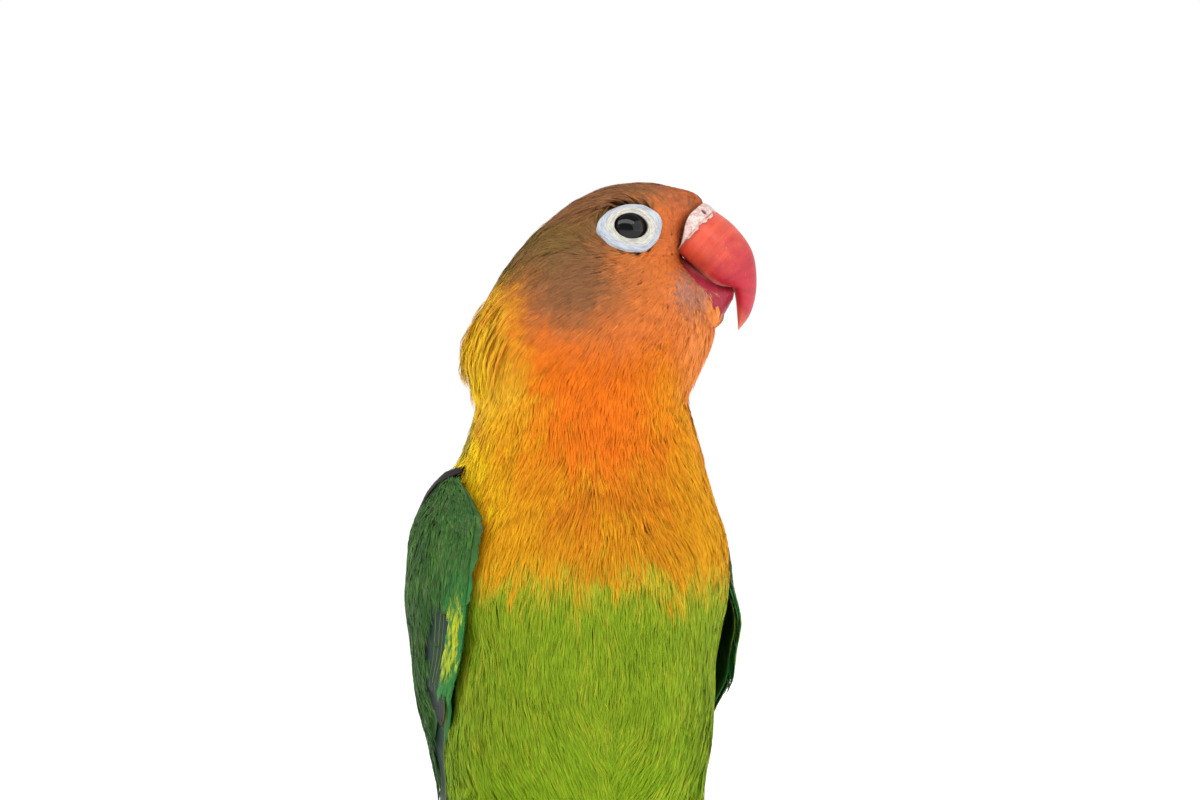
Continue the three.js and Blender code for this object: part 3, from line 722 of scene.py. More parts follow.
def build_wing_markings(plumage):
    """Colours of the folded wing by how far across and down it a feather's root is."""
    inputs = {"Place": ("vector", None), "Chance": ("float", 0.5)}
    tree, given, out = new_group("wing_markings", inputs, {"Color": "color"})
    across, down, side = tree.split(given["Place"])
    place = tree.join(tree.times(across, 30.0), tree.times(down, 64.0), side)
    spot = {
        "across": across,
        "down": down,
        "chance": given["Chance"],
        "cloud": tree.noise(place, 0.35, 3),
        "speckle": tree.noise(place, 1.1, 3),
    }
    tree.feed(out["Color"], lay_colours(tree, plumage, tuple(plumage.covert), WING_LAYERS, spot))


def coat_material(name, markings, barb_shade, spread, rough, shine):
    """Barbs in the colour of the place where their feather grows, with painted shade towards their
    roots.
    """
    material, tree = new_material(name)
    barb = tree.attribute("barb")
    given = {"Place": tree.attribute("root_place")}
    if "Chance" in markings.interface.items_tree:
        given["Chance"] = tree.split(barb)[2]
    marked = tree.group(markings, given)["Color"]
    shaded = tree.group(barb_shade, {"Color": marked, "Barb": barb, "Spread": spread})["Color"]
    tree.surface(shaded, rough, shine)
    return material


def skin_material(markings):
    material, tree = new_material("downy_skin")
    place = bird_place(tree)
    marked = tree.group(markings, {"Place": place})["Color"]
    down = tree.noise(place, 3.0, 4)
    # Skin darkened under the tufts: partly its grey down, partly painted shade of the tufts over it.
    shade = tree.mix(down, (0.45, 0.45, 0.45), (0.75, 0.75, 0.75))
    tree.surface(tree.darken(marked, shade), 0.8, normal=tree.bump(down, 0.6, 0.0004))
    return material


# Skin


def taper(points, radii, steps, sides):
    """Rings of a round limb along a smooth curve."""
    share = np.linspace(0, 1, steps + 1)
    middle = spline(points, share)
    radius = between(radii, share * (len(radii) - 1))[:, 0]
    along = unit(np.gradient(middle, axis=0))
    first = unit(np.cross(along, [0.0, 0.3, 1.0]) + 1e-6)
    second = np.cross(along, first)
    turn = turns(sides)[:, None]
    out = first[:, None] * np.cos(turn) + second[:, None] * np.sin(turn)
    return middle[:, None] + out * radius[:, None, None]


def body_grid(rows, columns, depth_share):
    """The body's surface as a grid, drawn in by a share of the coat's depth."""
    end = len(LEVELS) - 1 - 0.03
    place, angle = over_grid(np.linspace(0.03, end, rows), turns(columns))
    rise = outline(place + 0.02, angle) - outline(place - 0.02, angle)
    round_it = outline(place, angle + 0.02) - outline(place, angle - 0.02)
    depth = between(LEVELS, place)[..., 7] * depth_share
    return outline(place, angle) - unit(np.cross(round_it, rise)) * depth[..., None]


def unwrap(points):
    """Places on the skin's unwrap: how far round the body, and how far up it."""
    x, y, z = np.moveaxis(points, -1, 0)
    low, high = UNWRAP_Z
    share = np.arctan2(x, BODY_AXIS_Y - y) / (2 * np.pi) + 0.5
    return np.stack([share, UNWRAP_MARGIN + UNWRAP_SHARE * (z - low) / (high - low)], -1)


def inset(places):
    """The unwrap drawn in at its sides."""
    return places * [UNWRAP_SHARE, 1.0] + [UNWRAP_MARGIN, 0.0]


def make_skin(material, sizes):
    thighs = [
        taper(np.array(THIGH) * [sign, 1, 1], np.array(THIGH_RADII) - THIGH_COAT, *THIGH_RINGS)
        for sign in SIDES.values()
    ]
    points, faces = join_tubes([body_grid(*BODY_RINGS, 1.0), *thighs])
    nodes = ("head", "neck", "torso", "thigh_left", "thigh_right")
    skin = new_piece("skin", points, faces, material, "plumage_green", nodes)
    remesh = skin.modifiers.new("one_skin", "REMESH")
    remesh.mode = "VOXEL"
    remesh.voxel_size = sizes.skin_voxel
    soften = skin.modifiers.new("soften", "SMOOTH")
    soften.factor = 0.5
    soften.iterations = 6
    depsgraph = bpy.context.evaluated_depsgraph_get()
    whole = bpy.data.meshes.new_from_object(skin.evaluated_get(depsgraph))
    rough = skin.data
    skin.modifiers.clear()
    skin.data = whole
    bpy.data.meshes.remove(rough)
    whole.name = "skin"
    whole.shade_smooth()
    points, quads = read_quads(whole)
    places = unwrap(points)[quads]
    crossing = np.ptp(places[..., 0], axis=1) > 0.5
    places[..., 0] += crossing[:, None] & (places[..., 0] < 0.5)
    set_unwrap(whole, inset(places))


# Coat


def read_quads(mesh):
    """Points in millimetres and quads of a mesh that has only quads."""
    points = np.empty(len(mesh.vertices) * 3)
    mesh.vertices.foreach_get("co", points)
    corners = np.empty(len(mesh.loops), int)
    mesh.loops.foreach_get("vertex_index", corners)
    if len(corners) != 4 * len(mesh.polygons):
        raise RuntimeError(mesh.name + " has faces that aren't quads")
    return points.reshape(-1, 3) / MM - ORIGIN, corners.reshape(-1, 4)


class Surface:
    """A surface of quads, asked for roots on it, the place nearest to a point and the way out."""

    def __init__(self, points, quads):
        self.corners = points[quads]
        self.cross = np.cross(
            self.corners[:, 2] - self.corners[:, 0], self.corners[:, 3] - self.corners[:, 1]
        )
        self.normals = unit(self.cross)
        self.tree = BVHTree.FromPolygons(points.tolist(), quads.tolist())

    def roots(self, weight, rng):
        """Roots with as many per square millimetre as weight gives."""
        area = np.linalg.norm(self.cross, axis=1) / 2
        ends = np.cumsum(area * weight(self.corners.mean(1)))
        total = int(ends[-1])
        pick = np.searchsorted(ends, (np.arange(total) + rng.random(total)) * (ends[-1] / total))
        corner = self.corners[np.minimum(pick, len(area) - 1)]
        a, b = rng.random((2, total, 1))
        near = corner[:, 0] * (1 - a) + corner[:, 1] * a
        far = corner[:, 3] * (1 - a) + corner[:, 2] * a
        return near * (1 - b) + far * b

    def hits(self, points):
        find = self.tree.find_nearest
        return [find(point) for point in np.asarray(points).reshape(-1, 3).tolist()]

    def faces(self, points):
        return np.array([hit[2] for hit in self.hits(points)])

    def nearest(self, points):
        hits = self.hits(points)
        spots = np.array([tuple(hit[0]) for hit in hits])
        normals = self.normals[[hit[2] for hit in hits]]
        return spots.reshape(points.shape), normals.reshape(points.shape)


def quadratic(samples, s):
    """Values between three samples at 0, 1/2 and 1."""
    a, b, c = samples
    return a * (2 * (s - 0.5) * (s - 1)) + b * (-4 * s * (s - 1)) + c * (2 * s * (s - 0.5))


def flatten(way, normals):
    """A direction pressed down on to a surface."""
    return unit(way - (way * normals).sum(-1, keepdims=True) * normals)


def coat_lie(points, normals):
    """The way that feathers lie: back from the bill, round the eyes, down the neck and body."""
    away = unit(points - head_point(*BILL_ROOT))
    for sign in SIDES.values():
        seat = EyeSeat(sign)
        along, upward, out = seat.local(points)
        along, upward = along / RING_REACH[0], upward / RING_REACH[1]
        reach = np.maximum(along**2 + upward**2, 0.9)
        turn = 2 * np.arctan2(upward, along)[:, None]
        near = (np.exp(-((out / 5) ** 2)) / reach)[:, None]
        away = away + near * (np.cos(turn) * seat.along + np.sin(turn) * seat.up)
    x, y, z = points.T
    down = np.stack([0 * x, 0 * x, -np.ones_like(x)], -1)
    inward = smooth(z, 62, 46) * smooth(-y, -4, 6) * 0.5
    outward = smooth(z, 92, 84) * smooth(z, 66, 76) * 0.3
    down[:, 0] = np.sign(x) * smooth(np.abs(x), 0, 6) * (outward - inward)
    share = smooth(z, 88, 106)[:, None]
    way = away * share + down * (1 - share) + np.array([0, 0, -0.3]) * share * (z < 112)[:, None]
    wave = 0.10 * np.sin(0.45 * x + 0.31 * z + 1) + 0.08 * np.sin(0.83 * z - 0.6 * x + 0.4 * y)
    way = flatten(way, normals)
    return unit(way + np.cross(normals, way) * wave[:, None])


def coat_sizes(points):
    """Length and width of the tufts rooted at some points."""
    z = points[:, 2]
    reach = np.linalg.norm(points - head_point(*BILL_ROOT), axis=1)
    face = smooth(reach, 3, 20)
    head = smooth(z, 84, 104)
    length = (8.0 - 1.4 * smooth(z, 60, 86)) * (1 - head) + (1.7 + 2.8 * face) * head
    width = 2.3 * (1 - head) + (0.8 + 0.7 * face) * head
    return length, width


def coat_depth(points):
    """How far the coat stands over the skin: less along the belly's crease and at the wings."""
    x, _, z = points.T
    ahead = ahead_of_neck(points)
    depth = between(LEVELS, place_in(LEVELS, np.clip(z, 17, 121.9)))[:, 7]
    crease = np.exp(-(x**2)) * smooth(z, 54, 44)
    crown = 0.3 * smooth(z, 116, 120) - 0.5 * smooth(ahead, 10.5, 16)
    throat = 0.55 * smooth(ahead, 11, 17) * smooth(z, 94, 98) * smooth(z, 107, 103)
    free = (x > 0) * smooth(z, 56, 64)
    pressed = 0.35 * by_wing(points, -6, 6) * smooth(z, 46, 52) * (1 - free)
    return depth * (1 - 0.3 * crease) * (1 - pressed) * (1 + crown + throat)


def bare(points):
    """True where no feather grows: the bill and cere, and the rings round the eyes."""
    z = points[:, 2]
    gape, ridge = CUTTING_EDGE[0], CULMEN[0]
    rise = np.clip((z - gape[1]) / (ridge[1] - gape[1]), 0, 1)
    below = np.clip(gape[1] - z, 0, 5)
    root = gape[0] + (ridge[0] - gape[0]) * rise + 0.5 - 1.55 * rise + 1.05 * below
    covered = (ahead_of_neck(points) > root) & (z > 107.2)
    for sign in SIDES.values():
        along, upward, out = EyeSeat(sign).local(points)
        reach = np.hypot((along - RING_AHEAD) / RING_COAT[0], upward / RING_COAT[1])
        covered |= (reach < 1) & (np.abs(out) < 4)
    return covered


def by_wing(points, low, high):
    """0 to 1 over angles inside the folded wings' edges, in degrees."""
    x, y, z = points.T
    angle = np.degrees(np.abs(np.arctan2(x, BODY_AXIS_Y - y)))
    rows = between(WING_ROWS, place_in(WING_ROWS, z))
    front = np.where(x > 0, rows[:, 1], rows[:, 2])
    inside = np.minimum(angle - front, rows[:, 3] - angle)
    return smooth(inside, low, high) * smooth(z, 27, 33) * smooth(z, WING_TOP_Z, WING_TOP_Z - 4)


class Tufts:
    """Barbed tufts on a surface: each is a fan of tapered barbs that follows the body's curve."""

    def __init__(self, surface, roots, lie, sizes, depth, rng, splay=0.45):
        self.splay = splay
        self.roots, self.normals = surface.nearest(roots)
        count = len(roots)
        length, width = sizes(self.roots)
        self.length = length * (0.8 + 0.4 * rng.random(count))
        self.width = width * (0.85 + 0.3 * rng.random(count))
        self.depth = depth(self.roots) * (0.95 + 0.1 * rng.random(count))
        way = lie(self.roots, self.normals)
        turn = rng.normal(0, 0.07, count)[:, None]
        self.lie = unit(way + np.cross(self.normals, way) * turn)
        self.side = np.cross(self.normals, self.lie)
        shares = np.array([0.0, 0.5, 1.0])
        ahead = self.lie[:, None, None] * (self.length[:, None] * shares)[:, :, None, None]
        beside = self.side[:, None, None] * (self.width[:, None] * (shares - 0.5))[:, None, :, None]
        patch = self.roots[:, None, None] + ahead + beside
        self.patch, self.patch_normals = surface.nearest(patch)
        self.chance = rng.random(count)
        self.rng = rng

    def part(self, keep):
        """The same tufts, cut down to those that are kept."""
        chosen = Tufts.__new__(Tufts)
        for key, value in vars(self).items():
            setattr(chosen, key, value[keep] if isinstance(value, np.ndarray) else value)
        return chosen

    def barbs(self, barbs, shares, barb_width):
        """Both edges of each barb, its places along and across the tuft, and the way it faces."""
        rng, count = self.rng, len(self.roots)
        across = np.linspace(-1, 1, barbs) + rng.normal(0, 0.8 / barbs, (count, barbs))
        reach = 1 - 0.3 * across**2 + rng.normal(0, 0.09, (count, barbs))
        drift = rng.normal(0, 0.16, (count, barbs, 1))
        roll = rng.normal(0, 0.35, (count, barbs, 1, 1))
        lift = rng.normal(0, 0.03, (count, barbs, 1))
        s = np.array(shares)[None, None, :]
        along = np.clip(s * reach[..., None], 0, 1.2)
        fan = across[..., None] * (0.55 + self.splay * s**0.7) + drift * s**2
        share = (fan[..., None] + 1) / 2

        def over(samples):
            lines = [
                quadratic([samples[:, k, c][:, None, None] for c in range(3)], share)
                for k in range(3)
            ]
            return quadratic(lines, along[..., None])

        normal = unit(over(self.patch_normals))
        rise = np.interp(np.broadcast_to(s, along.shape), [0, 0.3, 0.7, 1], [-0.1, 0.68, 1.0, 0.99])
        rise = rise + (lift - 0.10 * across[..., None] ** 2) * s
        middle = over(self.patch) + normal * (self.depth[:, None, None] * rise)[..., None]
        side = self.side[:, None, None] * np.cos(roll) + normal * np.sin(roll)
        half = barb_width / 2 * np.interp(s, [0, 0.35, 0.8, 1], [0.7, 1, 0.75, 0])
        arm = side * np.broadcast_to(half, along.shape)[..., None]
        own = np.cross(self.lie[:, None, None], side)
        faces_way = unit(normal + 0.25 * own + 0.12 * self.lie[:, None, None] * s[..., None])
        return middle - arm, middle + arm, along, fan, faces_way


def tuft_piece(name, tufts, kind, barb_width, material, slot, wander, spots=None, places=None):
    """Joins tufts into one coat piece; spots are what its material reads at each root."""
    barbs, shares = kind
    spots = tufts.roots if spots is None else spots
    places = inset(unwrap(tufts.roots)) if places is None else places
    left, right, along, fan, faces_way = tufts.barbs(barbs, shares, barb_width)
    count, _, rows, _ = left.shape
    last = 2 * (rows - 1)

    def per_point(values, other=None):
        other = values if other is None else other
        body = np.stack([values[:, :, :-1], other[:, :, :-1]], 3)
        body = body.reshape(count * barbs, last, -1)
        tip = (values[:, :, -1] + other[:, :, -1]).reshape(count * barbs, 1, -1) / 2
        return np.concatenate([body, tip], 1)

    one = []
    for k in range(0, last - 2, 2):
        one += [(k, k + 3, k + 1), (k, k + 2, k + 3)]
    one.append((last - 2, last, last - 1))
    base = np.arange(count * barbs)[:, None, None] * (last + 1)
    faces = (np.array(one)[None] + base).reshape(-1, 3)
    mesh = new_piece(name, per_point(left, right), faces, material, slot).data
    mesh.normals_split_custom_set_from_vertices(per_point(faces_way).reshape(-1, 3))
    rng = tufts.rng
    own = rng.random((count, barbs, 1))
    shade = np.broadcast_to(0.65 * own + 0.35 * tufts.chance[:, None, None], along.shape)
    store(mesh, "barb", per_point(np.stack([along, fan, shade], -1)))
    moved = spots[:, None] + rng.normal(0, 1, (count, 1, 3)) * wander
    moved = moved + rng.normal(0, 0.5, (count, barbs, 3)) * wander
    store(mesh, "root_place", per_point(np.broadcast_to(moved[:, :, None], left.shape)))
    patch = places[:, None, None] + np.stack([fan * 0.0015, along * 0.003], -1)
    set_unwrap(mesh, per_point(patch).reshape(-1, 2)[faces.ravel()])


# How many barbs a tuft has, and the shares of a barb's length where it has points.
SHORT_BARBS = (0.0, 0.5, 1.0)
LONG_BARBS = (0.0, 0.38, 0.74, 1.0)


def draws(sizes, group, side=0):
    """The random draws of a group of pieces, which are the same each time."""
    return np.random.default_rng(sizes.seed + SEEDS[group] + side)


def steady(value):
    """One value for however many points are asked for."""
    return lambda points: np.full(len(points), value)


def make_coat(skin, material, sizes):
    rng = draws(sizes, "coat")
    surface = Surface(*read_quads(skin.data))

    def weight(points):
        length, width = coat_sizes(points)
        reach = 14 + 30 * smooth(points[:, 2], 54, 48)
        shown = ~bare(points) & (by_wing(points, reach, reach + 1) < 0.5)
        return shown * (1 + 0.2 * (points[:, 2] > HEAD_Z)) * sizes.layers / (length * width)

    tufts = Tufts(surface, surface.roots(weight, rng), coat_lie, coat_sizes, coat_depth, rng)
    x, y, z = tufts.roots.T
    ahead = ahead_of_neck(tufts.roots)
    head, face, front, vent = z > HEAD_Z, ahead > 2, y < 2, z <= 38
    fine, plain = ((12, SHORT_BARBS), 0.85, 0.6), ((18, LONG_BARBS), 1.0, 1.1)
    tracts = {
        "coat_crown": (fine, "plumage_orange", head & (z > 112)),
        "coat_cheeks": (fine, "plumage_orange", head & (z <= 112) & face),
        "coat_nape": (fine, "plumage_orange", head & (z <= 112) & ~face),
        "coat_neck": (plain, "plumage_orange", ~head & (z > 82)),
        "coat_breast": (plain, "plumage_orange", (z <= 82) & (z > 60) & front),
        "coat_belly": (plain, "plumage_green", (z <= 60) & ~vent & front),
        "coat_back": (plain, "plumage_green", (z <= 82) & ~vent & ~front),
        "coat_vent_left": (plain, "plumage_green", vent & (x > 0)),
        "coat_vent_right": (plain, "plumage_green", vent & (x <= 0)),
    }
    for name, ((kind, width, wander), slot, keep) in tracts.items():
        part = tufts.part(keep)
        tuft_piece(name, part, kind, sizes.barb_width * width, material, slot, wander)
    add_ruff(surface, material, sizes)


def add_ruff(surface, material, sizes):
    """Longer pointed tufts that stand off at the back of the neck."""
    rng = draws(sizes, "ruff")
    count = 170
    z = rng.uniform(98, 106.5, count)
    turn = HEAD_YAW + np.pi + rng.uniform(-0.9, 0.9, count)

    def lie(points, normals):
        return flatten(coat_lie(points, normals) + [0, 0, -0.8], normals)

    def ruff_sizes(points):
        return rng.uniform(5.5, 9.0, len(points)), np.full(len(points), 1.5)

    def depth(points):
        return coat_depth(points) * rng.uniform(1.05, 1.75, len(points))

    roots = outline(place_in(LEVELS, z), turn)
    tufts = Tufts(surface, roots, lie, ruff_sizes, depth, rng, splay=-0.5)
    kind = (14, LONG_BARBS)
    tuft_piece("coat_ruff", tufts, kind, sizes.barb_width, material, "plumage_orange", 1.0)


# Wings and tail


def bed_point(sign, angle, z, height):
    """The surface under the folded wings: the body's, then out over the tail."""
    point = outline(place_in(LEVELS, z), sign * angle, WING_GAP + height)
    rows = between(TAIL_BED, place_in(TAIL_BED, z))
    y, front, back, half = np.moveaxis(rows[..., 1:], -1, 0)
    radius = oval(angle, front + height, back + height, half + height)
    away = np.stack([sign * radius * np.sin(angle), y - radius * np.cos(angle), z], -1)
    leave = smooth(LEAVE_BODY_Z - z, 0, 16)[..., None]
    return point + (away - point) * leave


class Wing:
    """A folded wing: places on it run across from its front edge and down to its tip."""

    def __init__(self, word):
        self.sign = SIDES[word]
        self.front = WING_COLUMNS.index(word)

    def rows(self, down):
        z = WING_TOP_Z + (WING_TIP_Z - WING_TOP_Z) * down
        return z, between(WING_ROWS, place_in(WING_ROWS, z))

    def point(self, across, down, height):
        z, rows = self.rows(down)
        angle = np.radians(rows[..., self.front] * (1 - across) + rows[..., 3] * across)
        if self.sign > 0:
            height = height - 2.6 * smooth(z, 58, 66) * smooth(across, 0.4, 0.02)
        height = height - 1.2 * smooth(z, 52, 46) * smooth(z, 24, 34) * smooth(across, 0.3, 0.05)
        return bed_point(self.sign, angle, z, height)

    def thickness(self, across, down):
        _, rows = self.rows(down)
        front = np.minimum(1, 0.35 + 3.5 * across)
        if self.sign > 0:
            front = 0.2 + 0.5 * smooth(across, 0.12, 0.5)
        back = np.minimum(1, 0.45 + 3.5 * (1 - across))
        return np.maximum(0.8, rows[..., 4] * front * back)


# Tiers of the folded wing from the deepest to the topmost: how many feathers, half width, root and
# tip across for the front and the back one, root down, tip down for both, and whether they are
# flight feathers (1) or coverts (0), or both in some part.
WING_TIERS = {
    "primaries": (9, 0.12, (0.15, 0.7), (0.3, 0.84), 0.5, (1, 0.78), 1.0),
    "primary_coverts": (6, 0.036, (0.05, 0.16), (0.065, 0.14), 0.18, (0.55, 0.5), 0.9),
    "secondaries": (10, 0.085, (0.13, 0.92), (0.2, 0.93), 0.36, (0.6, 0.77), 0.5),
    "greater_coverts": (11, 0.07, (0.1, 0.94), (0.12, 0.95), 0.3, (0.47, 0.54), 0.0),
    "median_coverts": (10, 0.078, (0.07, 0.94), (0.08, 0.95), 0.22, (0.37, 0.4), 0.0),
    "lesser_coverts_1": (10, 0.078, (0.05, 0.93), (0.06, 0.94), 0.16, (0.29, 0.31), 0.0),
    "lesser_coverts_2": (9, 0.084, (0.04, 0.92), (0.05, 0.93), 0.1, (0.225, 0.24), 0.0),
    "lesser_coverts_3": (8, 0.09, (0.04, 0.9), (0.05, 0.91), 0.05, (0.165, 0.175), 0.0),
    "lesser_coverts_4": (7, 0.1, (0.06, 0.88), (0.05, 0.9), 0.01, (0.11, 0.12), 0.0),
    "marginal_coverts": (6, 0.11, (0.12, 0.84), (0.1, 0.87), 0.0, (0.07, 0.075), 0.0),
}
# The dark shoulder feathers: how many, and the number that stands for them in their material.
SHOULDER_VANES = 3
SHOULDER_FLIGHT = 2.0
# How far a vane's root lies under its tip, and its far side over its near one.
VANE_DIVE = 0.75
VANE_SHINGLE = 0.4
# A vane's width at its root, where it is full, where it narrows again, and how blunt its end is.
QUILL_VANE = (0.72, 0.35, 0.62, 2.4)
COVERT_VANE = (0.75, 0.5, 0.5, 2.2)


def vane_outline(s, kind):
    """Half width of a vane along its length, as a share of its widest."""
    root, full, narrows, blunt = kind
    end = np.clip(s - narrows, 0, 1) / (1 - narrows)
    return (root + (1 - root) * smooth(s, 0, full)) * np.sqrt(np.clip(1 - end**blunt, 0, 1))


def vane_grids(place, height, half, kind, rng, rows=13, columns=9):
    """Outer and inner points of one feather, and their places along and across it."""
    s, v = over_grid(1 - (1 - np.linspace(0, 1, rows)) ** 1.5, np.linspace(-1, 1, columns))
    ragged = 1 + 0.05 * rng.normal(size=(rows, 1)) * (np.abs(v) > 0.7)
    shift = v * half * np.maximum(vane_outline(s, kind), 0.03) * ragged
    crown = 0.10 * (1 - v**2) + 0.05 * np.exp(-((v / 0.1) ** 2)) * (1 - s)
    top = height(s, v) + crown
    thick = 0.30 * (1 - 0.6 * s) * (1 - 0.5 * v**2) + 0.06
    return place(s, shift, top), place(s, shift, top - thick), s, v


class Feathers:
    """Collects the vanes of one piece and joins them."""

    def __init__(self):
        self.points, self.faces, self.count = [], [], 0
        self.values = {}

    def add(self, outer, inner, s, v, size, chance, flight, spots=None):
        """Adds a vane of some length and half width, with the values that its material reads."""
        rows, columns = s.shape
        points = rows * columns
        across, down = np.arange(columns - 1), np.arange(rows - 1)
        ring = np.concatenate(
            [across, down * columns + columns - 1, points - 1 - across, (rows - 1 - down) * columns]
        )
        following = np.roll(ring, -1)
        rim = np.stack([following, ring, ring + points, following + points], -1)
        top = grid_faces(rows, columns)
        self.points += [outer.reshape(-1, 3), inner.reshape(-1, 3)]
        self.faces.append(np.vstack([top[:, ::-1], top + points, rim[:, ::-1]]) + self.count)
        self.count += 2 * points
        vane = np.stack([s * size[0], v * size[1], np.full_like(s, chance)], -1)
        trait = np.stack([s, v, np.full_like(s, flight)], -1)
        for name, value in (("vane", vane), ("trait", trait), ("root_place", spots)):
            if value is not None:
                self.values.setdefault(name, []).extend([value.reshape(-1, 3)] * 2)

    def piece(self, name, material, slot, node):
        points, faces = np.vstack(self.points), np.vstack(self.faces)
        piece = new_piece(name, points, faces, material, slot, [node])
        for key, values in self.values.items():
            store(piece.data, key, np.vstack(values))


def add_wing_vane(feathers, wing, tier, i, rng):
    count, half, roots, tips, start, ends, flight = tier
    share = i / (count - 1)
    root, tip = (front + (back - front) * share for front, back in (roots, tips))
    end = ends[0] + (ends[1] - ends[0]) * share**1.4 + rng.normal(0, 0.004)
    covert = flight == 0

    def across(s, shift):
        return root + (tip - root) * s + shift

    def down(s):
        return start + (end - start) * s

    def height(s, v):
        full = wing.thickness(np.clip(across(s, v * half), 0, 1), np.clip(down(s), 0, 1))
        full = full - 0.4 * covert
        low = 0.5 + 0.05 * (i % 3)
        return np.maximum(full - VANE_DIVE * (1 - s) - VANE_SHINGLE * (v + 1) / 2, low)

    def place(s, shift, up):
        return wing.point(across(s, shift), np.clip(down(s), -0.05, 1), up)

    grids = vane_grids(place, height, half, COVERT_VANE if covert else QUILL_VANE, rng)
    s, v = grids[2:]
    size = ((end - start) * (WING_TOP_Z - WING_TIP_Z), half * WING_WIDTH)
    spots = np.stack([across(s, v * half), down(s), 0 * s + wing.sign], -1)
    feathers.add(*grids, size, rng.random(), flight, spots)


def add_wing_core(feathers, wing):
    """The wing's arm and flesh, under the feathers."""
    s, t = over_grid(np.linspace(0, 1, 21), np.linspace(0, 1, 13))
    across, down = 0.04 + 0.92 * t, 0.01 + 0.6 * s
    by_side, by_end = (np.sqrt(np.clip(1 - (2 * share - 1) ** 8, 0, 1)) for share in (t, s))
    full = np.maximum(wing.thickness(across, down) - 0.7, 0.5)
    outer = wing.point(across, down, full * (0.3 + 0.7 * (by_side * by_end)))
    inner = wing.point(across, down, 0 * full)
    spots = np.stack([across, down, 0 * s + wing.sign], -1)
    feathers.add(outer, inner, 0 * s, 0 * t, (10, 5), 0.5, 0.0, spots)


def add_shoulder_vane(feathers, wing, k, rng):
    """One of the dark feathers that show along the top of the wing."""

    def place(s, shift, up):
        across = 0.06 + 0.08 * k + (0.46 + 0.06 * k) * s
        down = -0.03 + 0.012 * k + 0.13 * s**1.5 + shift
        height = wing.thickness(np.clip(across, 0, 1), 0 * across)
        sunk = 1.6 * smooth(s, 0.3, 0.0)
        return wing.point(across, down, height * smooth(down, -0.06, 0.04) + up - sunk)

    def height(s, v):
        return 0.8 - 0.12 * k - 0.1 * s + 0 * v

    grids = vane_grids(place, height, 0.01, QUILL_VANE, rng)
    s = grids[2]
    spots = np.stack([s, 0 * s, 0 * s + wing.sign], -1)
    feathers.add(*grids, (16, 2), rng.random(), SHOULDER_FLIGHT, spots)


def wing_sheet(wing, down, across, height):
    """A surface laid over the folded wing, facing out, and the grid of its points."""
    quads = grid_faces(*down.shape)
    grid = wing.point(across, down, height)
    return Surface(grid.reshape(-1, 3), quads[:, ::-1] if wing.sign > 0 else quads), grid


def make_shoulder_coat(word, wing, material, sizes):
    """Feathers of the body that fall over the top of the folded wing."""
    rng = draws(sizes, "shoulder_coat", wing.sign)
    down, across = over_grid(np.linspace(-0.12, 0.2, 40), np.linspace(-0.12, 1.15, 50))
    full = wing.thickness(np.clip(across, 0, 1), np.clip(down, 0, 1)) - 0.2
    onto = smooth(down, -0.05, 0.05) * smooth(across, -0.1, 0.08) * smooth(across, 1.12, 0.92)
    surface, _ = wing_sheet(wing, down, across, full * onto - 2.0 * (1 - onto))
    low, beside = down[:-1, :-1].ravel(), across[:-1, :-1].ravel()
    last = 0.01 - 0.06 * smooth(beside, 0.7, 0.45)

    def weight(points):
        return 0.9 * smooth(low, -0.12, -0.09) * smooth(low, last, last - 0.02)

    def lie(points, normals):
        return flatten(np.array([0, 0.25, -1.0]) + 0 * points, normals)

    def tuft_sizes(points):
        behind = smooth(points[:, 1], 2, 8)
        return rng.uniform(3.0, 4.0, len(points)) * (1 + 0.5 * behind), np.full(len(points), 1.8)

    tufts = Tufts(surface, surface.roots(weight, rng), lie, tuft_sizes, steady(1.2), rng)
    name, kind = "coat_shoulder_" + word, (16, LONG_BARBS)
    tuft_piece(name, tufts, kind, sizes.barb_width, material, "plumage_green", 1.2)


